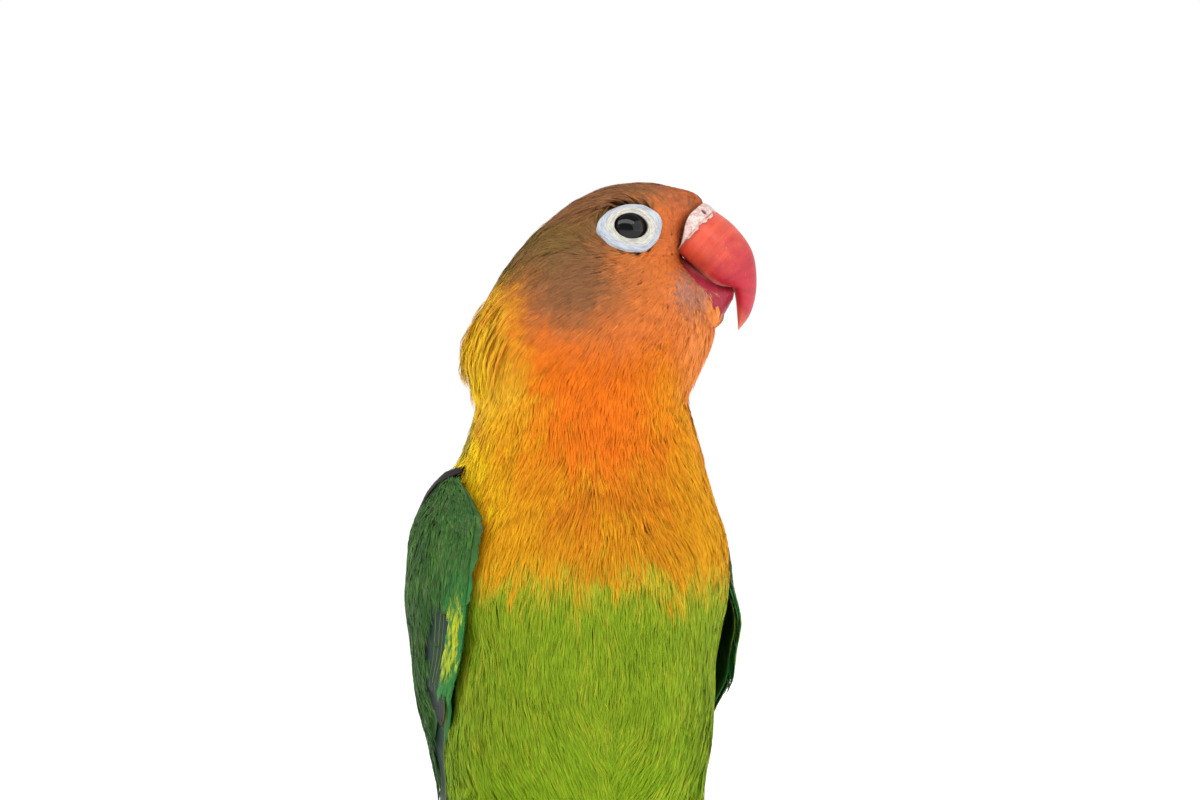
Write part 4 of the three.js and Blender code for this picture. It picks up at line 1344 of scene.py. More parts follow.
def make_wing_coat(word, wing, material, sizes):
    """Fine barbed tufts over the covert tiers of the folded wing."""
    rng = draws(sizes, "wing_coat", wing.sign)
    rows, columns = 70, 50
    down, across = over_grid(np.linspace(-0.015, 0.76, rows), np.linspace(0, 1, columns))

    def rounded(share):
        return np.sqrt(np.clip(1 - (1 - np.clip(share, 0, 1)) ** 2, 0, 1))

    full = np.maximum(wing.thickness(across, np.clip(down, 0, 1)) - 0.75, 0.2)
    edge = rounded(across / 0.1) * rounded((1 - across) / 0.1) * rounded((down + 0.02) / 0.09)
    surface, sheet = wing_sheet(wing, down, across, full * edge)
    wrist = wing.point(0.2, -0.05, 1.0) + [0, 0, 9]

    def cell(points):
        return np.divmod(surface.faces(points), columns - 1)

    def lie(points, normals):
        row, column = cell(points)
        along_edge = unit(sheet[row + 1, column] - sheet[row, column])
        near = smooth(across[0, column], 0.2, 0.1)[:, None]
        from_wrist = unit(points - wrist) + [0, 0, -0.5]
        return flatten(from_wrist * (1 - near) + along_edge * near, normals)

    def tuft_sizes(points):
        near = smooth(points[:, 2], 80, 66)
        rim = 1 - by_wing(points, 5, 12)
        return 2.2 + 1.6 * near, (1.3 + 0.5 * near) * (1 - rim) + 0.5 * rim

    def weight(points):
        length, width = tuft_sizes(points)
        z, share = points[:, 2], across[:-1, :-1].ravel()
        quills = smooth(share, 0.04, 0.055) * smooth(share, 0.17, 0.14) * smooth(z, 67, 63)
        shown = smooth(z - (50 - 16 * smooth(share, 0.1, 0.26)), 0, 4) * (1 - quills)
        return 0.5 * sizes.layers / (length * width) * shown

    tufts = Tufts(surface, surface.roots(weight, rng), lie, tuft_sizes, steady(0.75), rng)
    where = cell(tufts.roots)
    place = np.stack([across[where], down[where]], -1)
    spots = np.concatenate([place, np.full((len(place), 1), wing.sign)], 1)
    name, kind, width = "coat_wing_" + word, (12, LONG_BARBS), sizes.barb_width * 0.85
    wander, places = np.array([0.006, 0.012, 0]), 0.05 + 0.9 * place
    tuft_piece(name, tufts, kind, width, material, "wing_feathers", wander, spots, places)


def make_wing(word, material, coat, sizes):
    rng = draws(sizes, "wing", SIDES[word])
    wing, feathers = Wing(word), Feathers()
    add_wing_core(feathers, wing)
    for tier in WING_TIERS.values():
        for i in range(tier[0]):
            add_wing_vane(feathers, wing, tier, i, rng)
    for k in range(SHOULDER_VANES):
        add_shoulder_vane(feathers, wing, k, rng)
    feathers.piece("wing_feathers_" + word, material, "wing_feathers", "wing_" + word)
    make_wing_coat(word, wing, coat, sizes)


def tail_point(along, aside, up):
    return offset(TAIL_ROOT, (along, TAIL_ALONG), (up, TAIL_UP), (aside, np.array([1.0, 0.0, 0.0])))


def add_tail_vane(feathers, rng, fan, start, end, half, level, kind, flight):
    """A feather of the tail, or one that covers its root, turned out by a fan angle in degrees."""
    turn = math.radians(fan)

    def place(s, shift, up):
        along = start + (end - start) * s
        aside = along * math.sin(turn) + fan * 0.045 + shift
        return tail_point(along * math.cos(turn), aside, up - 0.02 * aside**2)

    def height(s, v):
        return level - 0.3 * (np.sign(fan) * v + 1) / 2

    grids = vane_grids(place, height, half, kind, rng)
    feathers.add(*grids, (end - start, half), rng.random(), flight)


def make_tail(material, sizes):
    rng = draws(sizes, "tail")
    feathers = Feathers()

    def add(*values):
        add_tail_vane(feathers, rng, *values)

    for sign in SIDES.values():
        under = 0.12 if sign > 0 else 0
        for i in range(TAIL_FEATHERS):
            length = TAIL_LENGTH - 0.42 * i**1.9
            fan = TAIL_FAN[0] + TAIL_FAN[1] * i
            add(sign * fan, 2, length, 2.9, 0.8 - 0.3 * i - under, QUILL_VANE, 0.5)
        for row in range(TAIL_COVERT_ROWS):
            for i in range(3 - row // 2):
                end = 21 - 4.5 * row - 1.2 * i + rng.normal(0, 0.4)
                above = 1.5 + 0.42 * row - 0.25 * i - under
                below = -1.3 - 0.42 * row + 0.2 * i - under
                add(sign * (2 + 6.5 * i + row), 1, end, 2.5, above, COVERT_VANE, 0.2)
                add(sign * (2 + 6 * i + row), 1, end + 4, 2.5, below, COVERT_VANE, 0.1)
    feathers.piece("tail_feathers", material, "tail_feathers", "tail")
    stem = taper([tail_point(along, 0, 0) for along in (-4, 3, 11)], [3.6, 2.4, 0.6], 12, 24)
    root = new_tube("tail_root", stem, material, "tail_feathers")
    for key in ("vane", "trait"):
        store(root.data, key, np.zeros(stem.shape))


def build_barb_lines():
    """Fine barb lines that slant from a feather's shaft, as a height and as painted shade in their
    grooves.
    """
    inputs = {"Vane": ("vector", None), "Per mm": ("float", 5.0)}
    tree, given, out = new_group("barb_lines", inputs, {"Height": "float", "Shade": "float"})
    along, across, chance = tree.split(given["Vane"])
    beside = tree.maths("ABSOLUTE", across)
    slant = tree.times(tree.minus(along, tree.times(beside, 1.1)), given["Per mm"])
    line = tree.noise(tree.join(slant, 0.0, tree.times(chance, 50.0)), 1.6, 2)
    patchy = tree.noise(tree.join(along, across, tree.times(chance, 31.0)), 0.8, 3)
    tree.feed(out["Height"], tree.plus(line, tree.times(tree.rise(beside, 0.12, 0.0), 0.6)))
    # Painted shade: darker between the raised lines, and in random patches.
    shade = tree.times(tree.rise(line, 0.25, 0.75), tree.rise(patchy, 0.1, 0.8), 0.6)
    tree.feed(out["Shade"], tree.plus(shade, 0.62))


def vane_material(name, tree_colour, barb_lines):
    """Feathers in the colour that a function gives them, with barb lines and their painted shade over
    it.
    """
    material, tree = new_material(name)
    vane = tree.attribute("vane")
    along, across, flight = tree.split(tree.attribute("trait"))
    spot = {"along": along, "across": across, "flight": flight, "chance": tree.split(vane)[2]}
    lines = tree.group(barb_lines, {"Vane": vane})
    base = tree.darken(tree_colour(tree, spot), tree.grey(lines["Shade"]))
    tree.surface(base, 0.55, 0.18, tree.bump(lines["Height"], 0.5, 0.0001))
    return material


def wing_material(plumage, barb_lines, wing_markings):
    def shown(tree, spot):
        chance = tree.times(spot["chance"], 0.7)
        values = {"Place": tree.attribute("root_place"), "Chance": chance}
        green = tree.group(wing_markings, values)["Color"]
        inner = (("quill", 0.6, ("across", 0.2, 0.7), ("flight", 0.3, 0.45)),)
        green = lay_colours(tree, plumage, green, inner, spot)
        quill = lay_colours(tree, plumage, tuple(plumage.quill_edge), QUILL_LAYERS, spot)
        both = tree.mix(tree.rise(spot["flight"], 0.6, 0.8), green, quill)
        return tree.mix(tree.rise(spot["flight"], 1.4, 1.6), both, tuple(plumage.shoulder))

    return vane_material("wing_vanes", shown, barb_lines)


def tail_material(plumage, barb_lines):
    def shown(tree, spot):
        spot["side"] = tree.maths("ABSOLUTE", tree.split(bird_place(tree))[0])
        feather = lay_colours(tree, plumage, tuple(plumage.covert), TAIL_LAYERS, spot)
        above = tree.rise(spot["flight"], 0.12, 0.18)
        covers = tree.mix(above, tuple(plumage.vent), tuple(plumage.rump))
        return tree.mix(tree.rise(spot["flight"], 0.3, 0.4), covers, feather)

    return vane_material("tail_vanes", shown, barb_lines)


# Bill, cere, eyes


def sheath(upper, lower, half_widths, shares, sides, grow=0.0):
    """Rings of a horn sheath between an upper and a lower profile."""
    inside = np.clip(shares, 0, 1)
    behind = np.maximum(-np.asarray(shares), 0)[:, None] * np.array([-14, 9.8])
    over, under = spline(upper, inside) + behind, spline(lower, inside) + behind
    half = between(half_widths, inside * (len(half_widths) - 1))[:, 0] + grow
    middle, arm = (over + under) / 2, (over - under) / 2
    reach = np.linalg.norm(arm, axis=1, keepdims=True)
    arm = arm * (reach + grow) / reach
    lift = np.cos(turns(sides))
    narrowed = 1 - 0.22 * np.maximum(lift, 0) ** 2
    ahead, z = (middle[:, None, k] + arm[:, None, k] * lift for k in (0, 1))
    return head_point(ahead, z, half[:, None] * narrowed * np.sin(turns(sides)))


def horn_material(name, colours):
    """Layered horn: paler at its root and edges, mottled, with fine scratches and growth lines."""
    material, tree = new_material(name)
    middle, root, tip = colours
    place = bird_place(tree)
    along, up, _ = tree.split(tree.attribute("trait"))
    cloud = tree.noise(place, 0.45, 4)
    growth = tree.noise(tree.join(tree.times(along, 30.0), up, cloud), 1.0, 3)
    scratch = tree.noise(tree.vector("MULTIPLY", place, (2.2, 2.2, 0.5)), 2.6, 5, 0.7)
    near_root = tree.minus(along, tree.times(cloud, 0.5))
    ridge = tree.times(tree.rise(up, 0.75, 1.0), tree.rise(along, 0.5, 0.1), 0.4)
    rim = tree.times(tree.rise(up, 0.26, 0.16), tree.rise(along, 0.05, 0.6), 0.6)
    shown = middle
    for share, laid in (
        (tree.rise(near_root, 0.25, -0.12), root),
        (tree.rise(along, 0.78, 0.98), tip),
        (ridge, root),
        (rim, HORN_RIM),
        (tree.times(tree.rise(scratch, 0.6, 0.78), 0.5), HORN_SCRATCH),
    ):
        shown = tree.mix(share, shown, laid)
    level = tree.mix(tree.rise(growth, 0.3, 0.7), (0.8, 0.76, 0.76), WHITE)
    rough = tree.plus(tree.times(scratch, 0.35), 0.25)
    bump = tree.bump(tree.plus(growth, scratch), 0.35, 0.00012)
    tree.surface(tree.darken(shown, level), rough, 0.35, bump, 0.12)
    return material


def make_bill(bare_colours):
    shades = {key: tuple(getattr(bare_colours, key)) for key in BILL_COLOURS}
    upper_horn = horn_material("bill_horn", [shades[key] for key in ("bill", "bill_root", "bill_tip")])
    lower = ("lower_bill", "lower_bill", "bill")
    lower_horn = horn_material("lower_bill_horn", [shades[key] for key in lower])
    closed_top = [(ahead, z + 1.0) for ahead, z in MANDIBLE_TOP]
    lower_shape = (closed_top, MANDIBLE_BOTTOM, MANDIBLE_HALF_WIDTHS)
    for node, horn, shape, rows, sides in (
        ("bill_upper", upper_horn, (CULMEN, CUTTING_EDGE, BILL_HALF_WIDTHS), 61, 64),
        ("bill_lower", lower_horn, lower_shape, 31, 48),
    ):
        shares = np.linspace(0, 1, rows)
        rings = sheath(*shape, shares, sides)
        along, turn = over_grid(shares, np.abs(np.linspace(-1, 1, sides, endpoint=False)))
        up = turn if node == "bill_upper" else 1 - turn
        trait = np.stack([along, up, 0 * along], -1)
        new_tube(node + "_horn", rings, horn, "bill_horn", [node], trait)


def make_bristles(material, sizes):
    """Fine feathers from the corner of the mouth and the chin, over the lower bill's root."""
    rng = draws(sizes, "bristles")
    rows, sides = 31, 48
    shape = (MANDIBLE_TOP, MANDIBLE_BOTTOM, MANDIBLE_HALF_WIDTHS)
    points = sheath(*shape, np.linspace(0, 1, rows), sides, 0.1).reshape(-1, 3)
    quads = grid_faces(rows, sides, wrap=True)
    surface = Surface(points, quads)
    if ((surface.corners.mean(1) - points.mean(0)) * surface.normals).sum(1).mean() <= 0:
        surface = Surface(points, quads[:, ::-1])

    def lie(points, normals):
        return flatten(0.08 * rng.normal(size=points.shape) + 0.3 * AHEAD - UP, normals)

    def bristle_sizes(points):
        return np.full(len(points), 2.6), np.full(len(points), 0.6)

    def weight(points):
        ahead = ahead_of_neck(points)
        return 13.0 * smooth(ahead + 0.6 * (points[:, 2] - 104), 20.0, 15.5)

    tufts = Tufts(surface, surface.roots(weight, rng), lie, bristle_sizes, steady(0.35), rng)
    kind, width = (8, SHORT_BARBS), sizes.barb_width * 0.8
    tuft_piece("coat_chin", tufts, kind, width, material, "plumage_orange", 0.5)


def cere_material(bare_colours):
    material, tree = new_material("cere_skin")
    place = bird_place(tree)
    fine, broad = tree.noise(place, 4.0, 5, 0.65), tree.noise(place, 1.1, 3)
    pale, flushed = tuple(bare_colours.cere), tuple(bare_colours.cere_flush)
    shown = tree.mix(tree.rise(broad, 0.35, 0.65), flushed, pale)
    # Painted shade: darker where the fine wrinkles that give the bump are low.
    shown = tree.darken(shown, tree.mix(tree.rise(fine, 0.3, 0.6), (0.62, 0.6, 0.62), WHITE))
    # The nostrils are painted near black over their shallow dents: painted shade of the openings.
    for sign in SIDES.values():
        centre = tuple(head_point(*NOSTRIL, sign * NOSTRIL_ASIDE))
        away = tree.vector("LENGTH", tree.vector("SUBTRACT", place, centre))
        shown = tree.mix(tree.rise(away, 0.62, 0.3), shown, (0.12, 0.06, 0.06))
    rough = tree.plus(tree.times(fine, 0.3), 0.45)
    tree.surface(shown, rough, 0.3, tree.bump(fine, 0.8, 0.0002), 0.15)
    return material


def make_cere(bare_colours):
    """The swollen skin behind the bill, with its nostrils."""
    rows, sides = 25, 128
    shares, round_it = np.linspace(-0.115, 0.03, rows), turns(sides)
    shape = (CULMEN, CUTTING_EDGE, [5.65, 5.65])
    rings = sheath(*shape, shares, sides)
    front = sheath(*shape, np.array([0.012]), sides)
    low = smooth(-np.cos(round_it), -0.5, 0.9)
    rings = rings + (front - rings) * 0.95 * low[None, :, None]
    ragged = sum(size * np.sin(waves * round_it + lag) for size, waves, lag in CERE_EDGE_WAVES)
    pushed = (ragged * (1 - low))[None] * smooth(shares, 0.0, 0.03)[:, None]
    rings = rings + unit(rings[-1:] - rings[:1]) * pushed[..., None]
    middle = rings.mean(1, keepdims=True)
    share, turn = over_grid(np.linspace(0, 1, rows), np.linspace(0, 2 * np.pi, sides))
    groove = 0.14 * np.exp(-(((share - 0.8) / 0.06) ** 2))
    swell = 0.22 * np.sin(np.pi * np.clip(share * 1.3, 0, 1)) - groove
    swell = swell + 0.03 * np.sin(9 * turn + 14 * share) * np.sin(7 * share + 5 * turn)
    rings = rings + unit(rings - middle) * swell[..., None]
    for sign in SIDES.values():
        nostril = head_point(*NOSTRIL, sign * NOSTRIL_ASIDE)
        away = np.linalg.norm(rings - nostril, axis=-1, keepdims=True)
        rings = rings - unit(rings - middle) * 0.55 * np.exp(-((away / 0.55) ** 2))
    material = cere_material(bare_colours)
    new_tube("cere_band", rings, material, "cere_skin", ["cere"])


class EyeSeat:
    """Where an eye sits on the side of the head, and the way that it looks."""

    AHEAD_MM = 7.3
    Z = 115.5
    SUNK = 2.6
    PROUD = 0.35

    def __init__(self, sign):
        place = float(place_in(LEVELS, self.Z))
        angles = HEAD_YAW + sign * np.linspace(0, np.pi, 721)
        spots = outline(np.full(angles.shape, place), angles)
        best = np.abs(ahead_of_neck(spots) - self.AHEAD_MM).argmin()
        angle, self.centre = angles[best], spots[best]
        before, after = outline(np.full(2, place), angle + np.array([-0.05, 0.05]))
        below, above = outline(place + np.array([-0.1, 0.1]), angle)
        self.normal = unit(np.cross(after - before, above - below))
        self.along = unit(AHEAD - self.normal * (AHEAD @ self.normal))
        self.up = np.cross(self.along, self.normal)
        self.up = self.up * np.sign(self.up[2])

    def local(self, points):
        away = points - self.centre
        return away @ self.along, away @ self.up, away @ self.normal

    def point(self, along, up, out):
        return offset(self.centre, (along, self.along), (up, self.up), (out, self.normal))


def ring_material(bare_colours):
    """Bare wrinkled skin, with folds that run round the eye and painted shade in their creases."""
    material, tree = new_material("eye_ring_skin")
    share, turn, _ = tree.split(tree.attribute("trait"))
    place = bird_place(tree)
    inner, outer = tuple(bare_colours.ring), tuple(bare_colours.ring_edge)
    rim = tuple(c * 0.12 for c in bare_colours.iris)
    wavy = tree.plus(tree.times(share, 9.0), tree.times(tree.noise(place, 1.2, 3), 1.6))
    folds = tree.noise(tree.join(wavy, tree.times(turn, 1.5), 0.0), 1.6, 3)
    shown = tree.mix(tree.rise(share, 0.42, 0.62), inner, outer)
    shown = tree.mix(tree.rise(share, 0.1, 0.0), shown, rim)
    # Painted shade: darker where the folds' bump is low.
    shade = tree.mix(tree.rise(folds, 0.35, 0.6), (0.66, 0.68, 0.74), WHITE)
    height = tree.plus(folds, tree.times(tree.noise(place, 7.0, 4), 0.5))
    bump = tree.bump(height, 0.9, 0.00025)
    tree.surface(tree.darken(shown, shade), 0.6, 0.3, bump, 0.2)
    return material


# The bare ring from its inner to its outer edge: share of its width, and how far it stands out.
RING_PROFILE = np.array(
    [
        (0.0, -0.75), (0.02, -0.15), (0.06, 0.12), (0.12, 0.17), (0.17, 0.05), (0.22, 0.08),
        (0.3, 0.22), (0.42, 0.28), (0.5, 0.2), (0.56, 0.16), (0.64, 0.2), (0.78, 0.12),
        (0.9, 0.0), (1.0, -0.5),
    ]
)


def make_eye_ring(word, material):
    seat = EyeSeat(SIDES[word])
    sides, rows = 160, 60
    share, angle = over_grid(np.linspace(0, 1, rows), turns(sides))
    inner, outer = (
        np.stack([along * np.cos(angle), up * np.sin(angle)]) for along, up in (RING_INNER, RING_OUTER)
    )
    corner = np.exp(-(((angle - np.pi * 1.07) / 0.28) ** 2))
    outer[0] += RING_AHEAD
    outer *= 1 + 0.07 * corner + 0.012 * np.sin(5 * angle) + 0.008 * np.sin(11 * angle + 1)
    flat = inner * (1 - share) + outer * share
    out = np.interp(share, *RING_PROFILE.T)
    out = out + 0.025 * np.sin(share * 46 + 1.3 * np.sin(3 * angle)) * smooth(share, 0.1, 0.3)
    out = out + 0.035 * np.sin(angle * 34) * np.exp(-(((share - 0.13) / 0.04) ** 2)) + 0.28
    plane = seat.point(*flat, out)
    whole = body_grid(*FINE_BODY_RINGS, 0.0).reshape(-1, 3)
    head = Surface(whole, grid_faces(*FINE_BODY_RINGS, wrap=True))
    under, normals = head.nearest(seat.point(*flat, 0 * out))
    normals = normals * np.sign(normals @ seat.normal)[..., None]
    onto = smooth(share, 0.15, 0.7)[..., None]
    spots = plane + (under + normals * out[..., None] - plane) * onto
    name, faces = "eye_ring_skin_" + word, grid_faces(rows, sides, wrap=True)
    trait = np.stack([share, angle, 0 * share], -1)
    new_piece(name, spots, faces, material, "eye_ring_skin", ["eye_ring_" + word], trait)


def eye_material(bare_colours):
    """A dark iris with fine fibres, round a black pupil."""
    material, tree = new_material("eye_wet")
    trait = tree.attribute("trait")
    edge = tree.rise(tree.split(trait)[0], 0.5, 0.6)
    iris = tree.mix(edge, (0.003, 0.003, 0.004), tuple(bare_colours.iris))
    fibre = tree.times(tree.noise(trait, 30.0, 2), 0.4)
    tree.surface(tree.mix(fibre, iris, (0.002,) * 3), 0.04, more={"IOR": 1.33})
    return material


def make_eye(word, material, radius):
    seat = EyeSeat(SIDES[word])
    rows, sides = 49, 96
    tilt, turn = over_grid(np.linspace(0.002, np.pi - 0.002, rows), turns(sides))
    bulge = 1 + 0.03 * smooth(np.cos(tilt), 0.6, 0.95)
    out = radius * np.cos(tilt) * bulge - (EyeSeat.SUNK - EyeSeat.PROUD)
    flat = radius * np.sin(tilt)
    spots = seat.point(flat * np.cos(turn), flat * np.sin(turn), out)
    trait = np.stack([np.where(tilt < 1.6, np.sin(tilt), 1), turn, 0 * tilt], -1)
    new_tube("eyeball_" + word, spots, material, "eye_surface", ["eye_" + word], trait)


# Feet


def foot_material(bare_colours):
    """Scutes over the toes' tops and small scales at their sides, with painted shade in the creases
    between them.
    """
    material, tree = new_material("foot_scales")
    place = bird_place(tree)
    along, upward, _ = tree.split(tree.attribute("trait"))
    scute = tree.plus(tree.times(along, SCUTES_PER_MM), tree.times(tree.noise(place, 0.8, 2), 0.9))
    ridge = tree.maths("ABSOLUTE", tree.minus(tree.maths("FRACT", scute), 0.5))
    cells = tree.add("ShaderNodeTexVoronoi", {"Vector": place, "Scale": 1.8}).outputs["Distance"]
    scales, crease = tree.grey(tree.rise(cells, 0.15, 0.75)), tree.grey(tree.rise(ridge, 0.34, 0.48))
    groove = tree.split(tree.mix(tree.rise(upward, 0.15, 0.35), scales, crease))[0]
    # Painted shade: the creases between scutes and between the side scales are painted down to 42
    # percent.
    shown = tree.mix(groove, tuple(bare_colours.foot), tuple(c * 0.42 for c in bare_colours.foot))
    dusty = tree.rise(tree.noise(place, 0.6, 4), 0.3, 0.7)
    shown = tree.darken(shown, tree.mix(dusty, (0.78, 0.76, 0.76), WHITE))
    tree.surface(shown, 0.6, 0.3, tree.bump(groove, 0.7, 0.0003, invert=True))
    return material


def claw_material(bare_colours):
    material, tree = new_material("claw_horn")
    streak = tree.noise(bird_place(tree), 1.5, 3)
    pale, dark = tuple(bare_colours.claw), tuple(c * 0.4 for c in bare_colours.claw)
    tree.surface(tree.mix(streak, pale, dark), tree.plus(tree.times(streak, 0.2), 0.25))
    return material


def scuted(limb):
    """A limb's rings with scutes across it, kept above the floor, and the values for its material."""
    middle = limb.mean(1, keepdims=True)
    steps = np.diff(middle[:, 0], axis=0, prepend=middle[:1, 0])
    along = np.cumsum(np.linalg.norm(steps, axis=1))
    scute = np.abs((along * SCUTES_PER_MM) % 1 - 0.5)
    ripple = 1.04 - 0.07 * smooth(scute, 0.3, 0.5)
    ripple[:2] *= 0.85
    ripple[-3:] *= [0.95, 0.8, 0.5]
    limb = middle + (limb - middle) * ripple[:, None, None]
    limb[..., 2] = np.maximum(limb[..., 2], 0.0)
    upward = unit(limb - middle) @ np.array([0.0, -0.6, 0.8])
    trait = np.stack([along[:, None] + 0 * upward, upward, 0 * upward], -1)
    return limb, trait.reshape(-1, 3)


def make_feet(bare_colours):
    scale_skin, claw_horn = foot_material(bare_colours), claw_material(bare_colours)
    for word, sign in SIDES.items():
        sole = FOOT * [sign, 1, 1]
        ankle = ANKLE * [sign, 1, 1] + [0, 0.4, -0.9]
        limbs = [taper([ankle, (ankle + sole) / 2, sole], [1.55, 1.3, 1.6], 40, 32)]
        for toe, (degrees, length) in TOES.items():
            turn = math.radians(degrees)
            way = np.array([sign * math.sin(turn), -math.cos(turn), 0])
            spine = [sole + way * length * t + UP * (z - FOOT[2]) for t, z in TOE_ARCH]
            limbs.append(taper(spine, [1.6, 1.35, 1.15], 60, 24))
            start = FOOT * [sign, 1, 0] + way * (length + 0.1)
            rings = taper([start + way * a + UP * z for a, z in CLAW_HOOK], CLAW_RADII, 24, 20)
            rings[..., 2] = np.maximum(rings[..., 2], 0.02)
            name, node = f"claw_horn_{word}_{toe}", f"claw_{word}_{toe}"
            new_tube(name, rings, claw_horn, "claw_horn", [node])
        limbs, traits = zip(*(scuted(limb) for limb in limbs))
        points, faces = join_tubes(limbs)
        name, node = "foot_skin_" + word, "foot_" + word
        new_piece(name, points, faces, scale_skin, "foot_skin", [node], np.vstack(traits))


# Stage


# Lights by name: degrees round from the camera, degrees up, distance, width, height and power.
LIGHTS = {
    "front_softbox": (-12, 48, 0.75, 1.4, 0.3, 6.4),
    "side_softbox": (-80, 15, 1.1, 1.2, 1.2, 2.8),
    "fill_panel": (65, 10, 1.2, 1.5, 1.5, 11.5),
}
# The camera looks level at a place in the bird's frame, from a side of it and some metres away.
LOOK_AT = (0.974 * 2.4, -0.225 * 2.4, 91.14)
CAMERA_SIDE = (-0.225, -0.974, 0)
CAMERA_AWAY = 0.642
LENS, SENSOR = 135, 36
FLOOR_REACH = 6.0
FLOOR_BELOW = 0.0001
FLOOR_GLOW = 0.45
# Strength of the studio's white: all round, and what is added behind the bird.
AIR_ALL_ROUND = 0.3
AIR_BEHIND = 0.72


def make_studio_air():
    """White behind the bird and softer in front of it, as between panels in a studio."""
    world = bpy.data.worlds.new("studio")
    world.use_nodes = True
    tree = Tree(world.node_tree)
    way = tree.split(tree.add("ShaderNodeTexCoord").outputs["Generated"])[1]
    air = world.node_tree.nodes["Background"].inputs
    behind = tree.rise(way, -0.1, 0.3)
    tree.feed(air["Strength"], tree.plus(tree.times(behind, AIR_BEHIND), AIR_ALL_ROUND))
    tree.feed(air["Color"], WHITE)
    return world


def set_up(name, data, target, away, distance):
    """Places a lamp or camera some way off a target, looking at it."""
    holder = bpy.data.objects.new(name, data)
    holder.location = target + away * distance
    holder.rotation_euler = (-away).to_track_quat("-Z", "Y").to_euler()
    bpy.context.scene.collection.objects.link(holder)
    return holder


def make_floor():
    material, tree = new_material("pale_floor")
    grain = tree.noise(tree.add("ShaderNodeTexCoord").outputs["Object"], 40.0, 3)
    shown = tree.mix(grain, (0.9, 0.9, 0.9), (0.93, 0.93, 0.93))
    tree.surface(shown, 0.9, more={"Emission Color": WHITE, "Emission Strength": FLOOR_GLOW})
    mesh = bpy.data.meshes.new("floor")
    corners = [(x * FLOOR_REACH, y * FLOOR_REACH, 0) for x, y in ((-1, -1), (1, -1), (1, 1), (-1, 1))]
    mesh.from_pydata(corners, [], [(0, 1, 2, 3)])
    mesh.materials.append(material)
    floor = bpy.data.objects.new("floor", mesh)
    floor.location.z = -FLOOR_BELOW
    bpy.context.scene.collection.objects.link(floor)


def make_stage():
    scene = bpy.context.scene
    scene.view_settings.view_transform = "Standard"
    scene.world = make_studio_air()
    middle, back = Vector(to_scene(LOOK_AT)), Vector(CAMERA_SIDE).normalized()
    lens = bpy.data.cameras.new("camera")
    lens.lens, lens.sensor_width = LENS, SENSOR
    lens.clip_start, lens.clip_end = 0.05, 20
    scene.camera = set_up("camera", lens, middle, back, CAMERA_AWAY)
    for name, (turn, rise, distance, width, height, power) in LIGHTS.items():
        lamp = bpy.data.lights.new(name, "AREA")
        lamp.shape = "RECTANGLE"
        lamp.size, lamp.size_y, lamp.energy = width, height, power
        around, up = math.atan2(back.y, back.x) + math.radians(turn), math.radians(rise)
        level = math.cos(up)
        away = Vector((level * math.cos(around), level * math.sin(around), math.sin(up)))
        set_up(name, lamp, middle, away, distance)
    make_floor()


# Operators


def groups():
    """The shared shader groups, built once."""
    if "plumage_markings" not in bpy.data.node_groups:
        build_markings(bpy.context.scene.lovebird_plumage)
        build_wing_markings(bpy.context.scene.lovebird_plumage)
        build_barb_shade()
        build_barb_lines()
    return bpy.data.node_groups


class LOVEBIRD_OT_stage(Operator):
    """Makes the floor, lights and camera"""

    bl_idname = "lovebird.make_stage"
    bl_label = "Stage"

    def execute(self, context):
        make_stage()
        return {"FINISHED"}


class LOVEBIRD_OT_skin(Operator):
    """Makes one skin for the head, neck, body and thighs"""

    bl_idname = "lovebird.make_skin"
    bl_label = "Skin"

    def execute(self, context):
        make_skin(skin_material(groups()["plumage_markings"]), context.scene.lovebird_sizes)
        return {"FINISHED"}


class LOVEBIRD_OT_coat(Operator):
    """Covers the skin with barbed tufts"""

    bl_idname = "lovebird.make_coat"
    bl_label = "Coat"

    def execute(self, context):
        made, sizes = groups(), context.scene.lovebird_sizes
        marks, shade = made["plumage_markings"], made["barb_shade"]
        material = coat_material("body_feathers", marks, shade, 0.32, 0.65, 0.1)
        make_coat(bpy.data.objects["skin"], material, sizes)
        make_bristles(material, sizes)
        return {"FINISHED"}


class LOVEBIRD_OT_wings(Operator):
    """Makes the folded wings feather by feather"""

    bl_idname = "lovebird.make_wings"
    bl_label = "Wings"

    def execute(self, context):
        scene, made = context.scene, groups()
        marks = made["wing_markings"]
        material = wing_material(scene.lovebird_plumage, made["barb_lines"], marks)
        coat = coat_material("wing_coverts", marks, made["barb_shade"], 0.4, 0.55, 0.15)
        body = bpy.data.materials.get("body_feathers")
        if body is None:
            raise RuntimeError("the coat is made before the wings")
        for word in SIDES:
            make_wing(word, material, coat, scene.lovebird_sizes)
            make_shoulder_coat(word, Wing(word), body, scene.lovebird_sizes)
        return {"FINISHED"}


class LOVEBIRD_OT_tail(Operator):
    """Makes the tail and its coverts feather by feather"""

    bl_idname = "lovebird.make_tail"
    bl_label = "Tail"

    def execute(self, context):
        material = tail_material(context.scene.lovebird_plumage, groups()["barb_lines"])
        make_tail(material, context.scene.lovebird_sizes)
        return {"FINISHED"}


class LOVEBIRD_OT_bill(Operator):
    """Makes the bill and the cere behind it"""

    bl_idname = "lovebird.make_bill"
    bl_label = "Bill and cere"

    def execute(self, context):
        make_bill(context.scene.lovebird_bare)
        make_cere(context.scene.lovebird_bare)
        return {"FINISHED"}


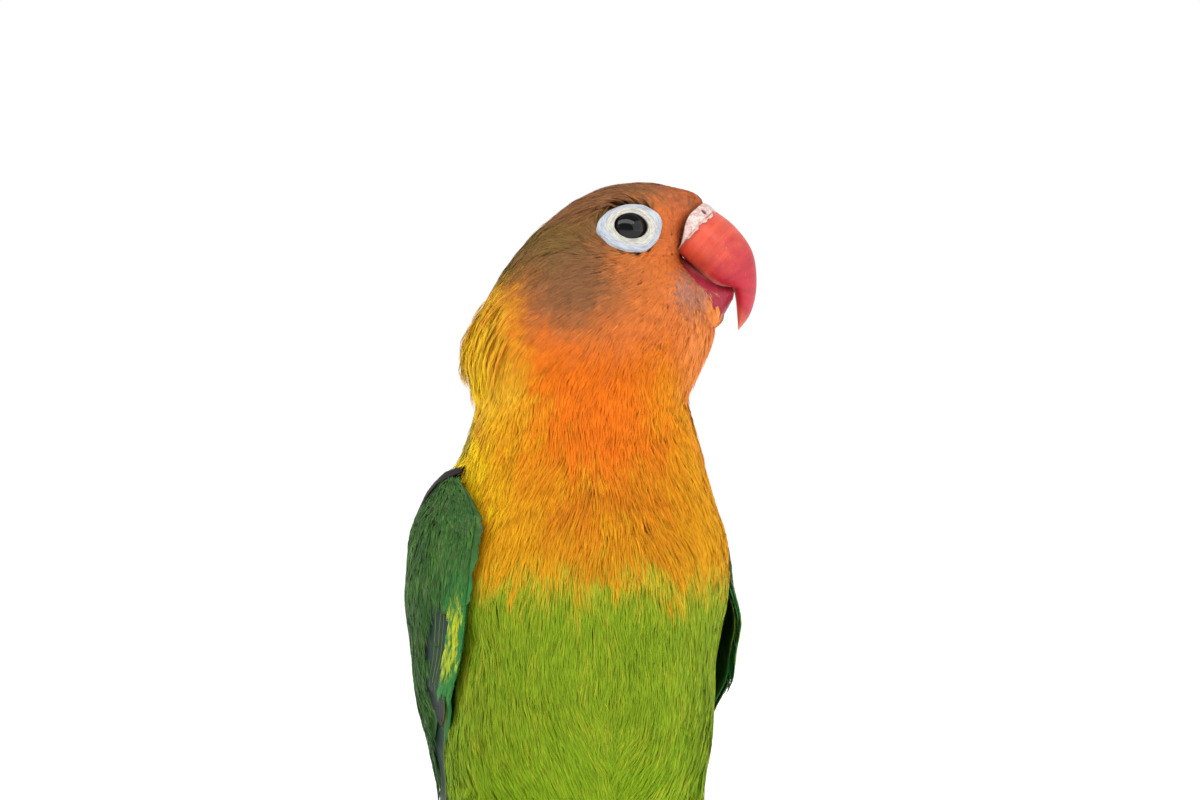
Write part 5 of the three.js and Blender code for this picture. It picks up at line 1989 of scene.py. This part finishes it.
class LOVEBIRD_OT_eyes(Operator):
    """Makes the eyes and the bare rings round them"""

    bl_idname = "lovebird.make_eyes"
    bl_label = "Eyes"

    def execute(self, context):
        scene = context.scene
        ring, wet = ring_material(scene.lovebird_bare), eye_material(scene.lovebird_bare)
        for word in SIDES:
            make_eye_ring(word, ring)
            make_eye(word, wet, scene.lovebird_sizes.eye_radius)
        return {"FINISHED"}


class LOVEBIRD_OT_feet(Operator):
    """Makes the scaled feet and the claws"""

    bl_idname = "lovebird.make_feet"
    bl_label = "Feet"

    def execute(self, context):
        make_feet(context.scene.lovebird_bare)
        return {"FINISHED"}


STEPS = (
    LOVEBIRD_OT_stage,
    LOVEBIRD_OT_skin,
    LOVEBIRD_OT_coat,
    LOVEBIRD_OT_wings,
    LOVEBIRD_OT_tail,
    LOVEBIRD_OT_bill,
    LOVEBIRD_OT_eyes,
    LOVEBIRD_OT_feet,
)


class VIEW3D_PT_lovebird(Panel):
    """Lists the bird's pieces and their settings"""

    bl_label = "Lovebird"
    bl_space_type = "VIEW_3D"
    bl_region_type = "UI"
    bl_category = "Lovebird"

    def draw(self, context):
        for step in STEPS:
            self.layout.operator(step.bl_idname)
        for key in ("lovebird_sizes", "lovebird_plumage", "lovebird_bare"):
            settings = getattr(context.scene, key)
            box = self.layout.box()
            for name in settings.bl_rna.properties.keys():
                if name not in ("rna_type", "name"):
                    box.prop(settings, name)


SETTINGS = {
    "lovebird_plumage": LovebirdPlumage,
    "lovebird_bare": LovebirdBare,
    "lovebird_sizes": LovebirdSizes,
}


def register():
    for kind in (*SETTINGS.values(), *STEPS, VIEW3D_PT_lovebird):
        bpy.utils.register_class(kind)
    for key, kind in SETTINGS.items():
        setattr(bpy.types.Scene, key, PointerProperty(type=kind))


def unregister():
    for key in SETTINGS:
        delattr(bpy.types.Scene, key)
    for kind in (VIEW3D_PT_lovebird, *reversed(STEPS), *SETTINGS.values()):
        bpy.utils.unregister_class(kind)


def main():
    register()
    for step in STEPS:
        part, action = step.bl_idname.split(".")
        getattr(getattr(bpy.ops, part), action)()


if __name__ == "__main__":
    main()
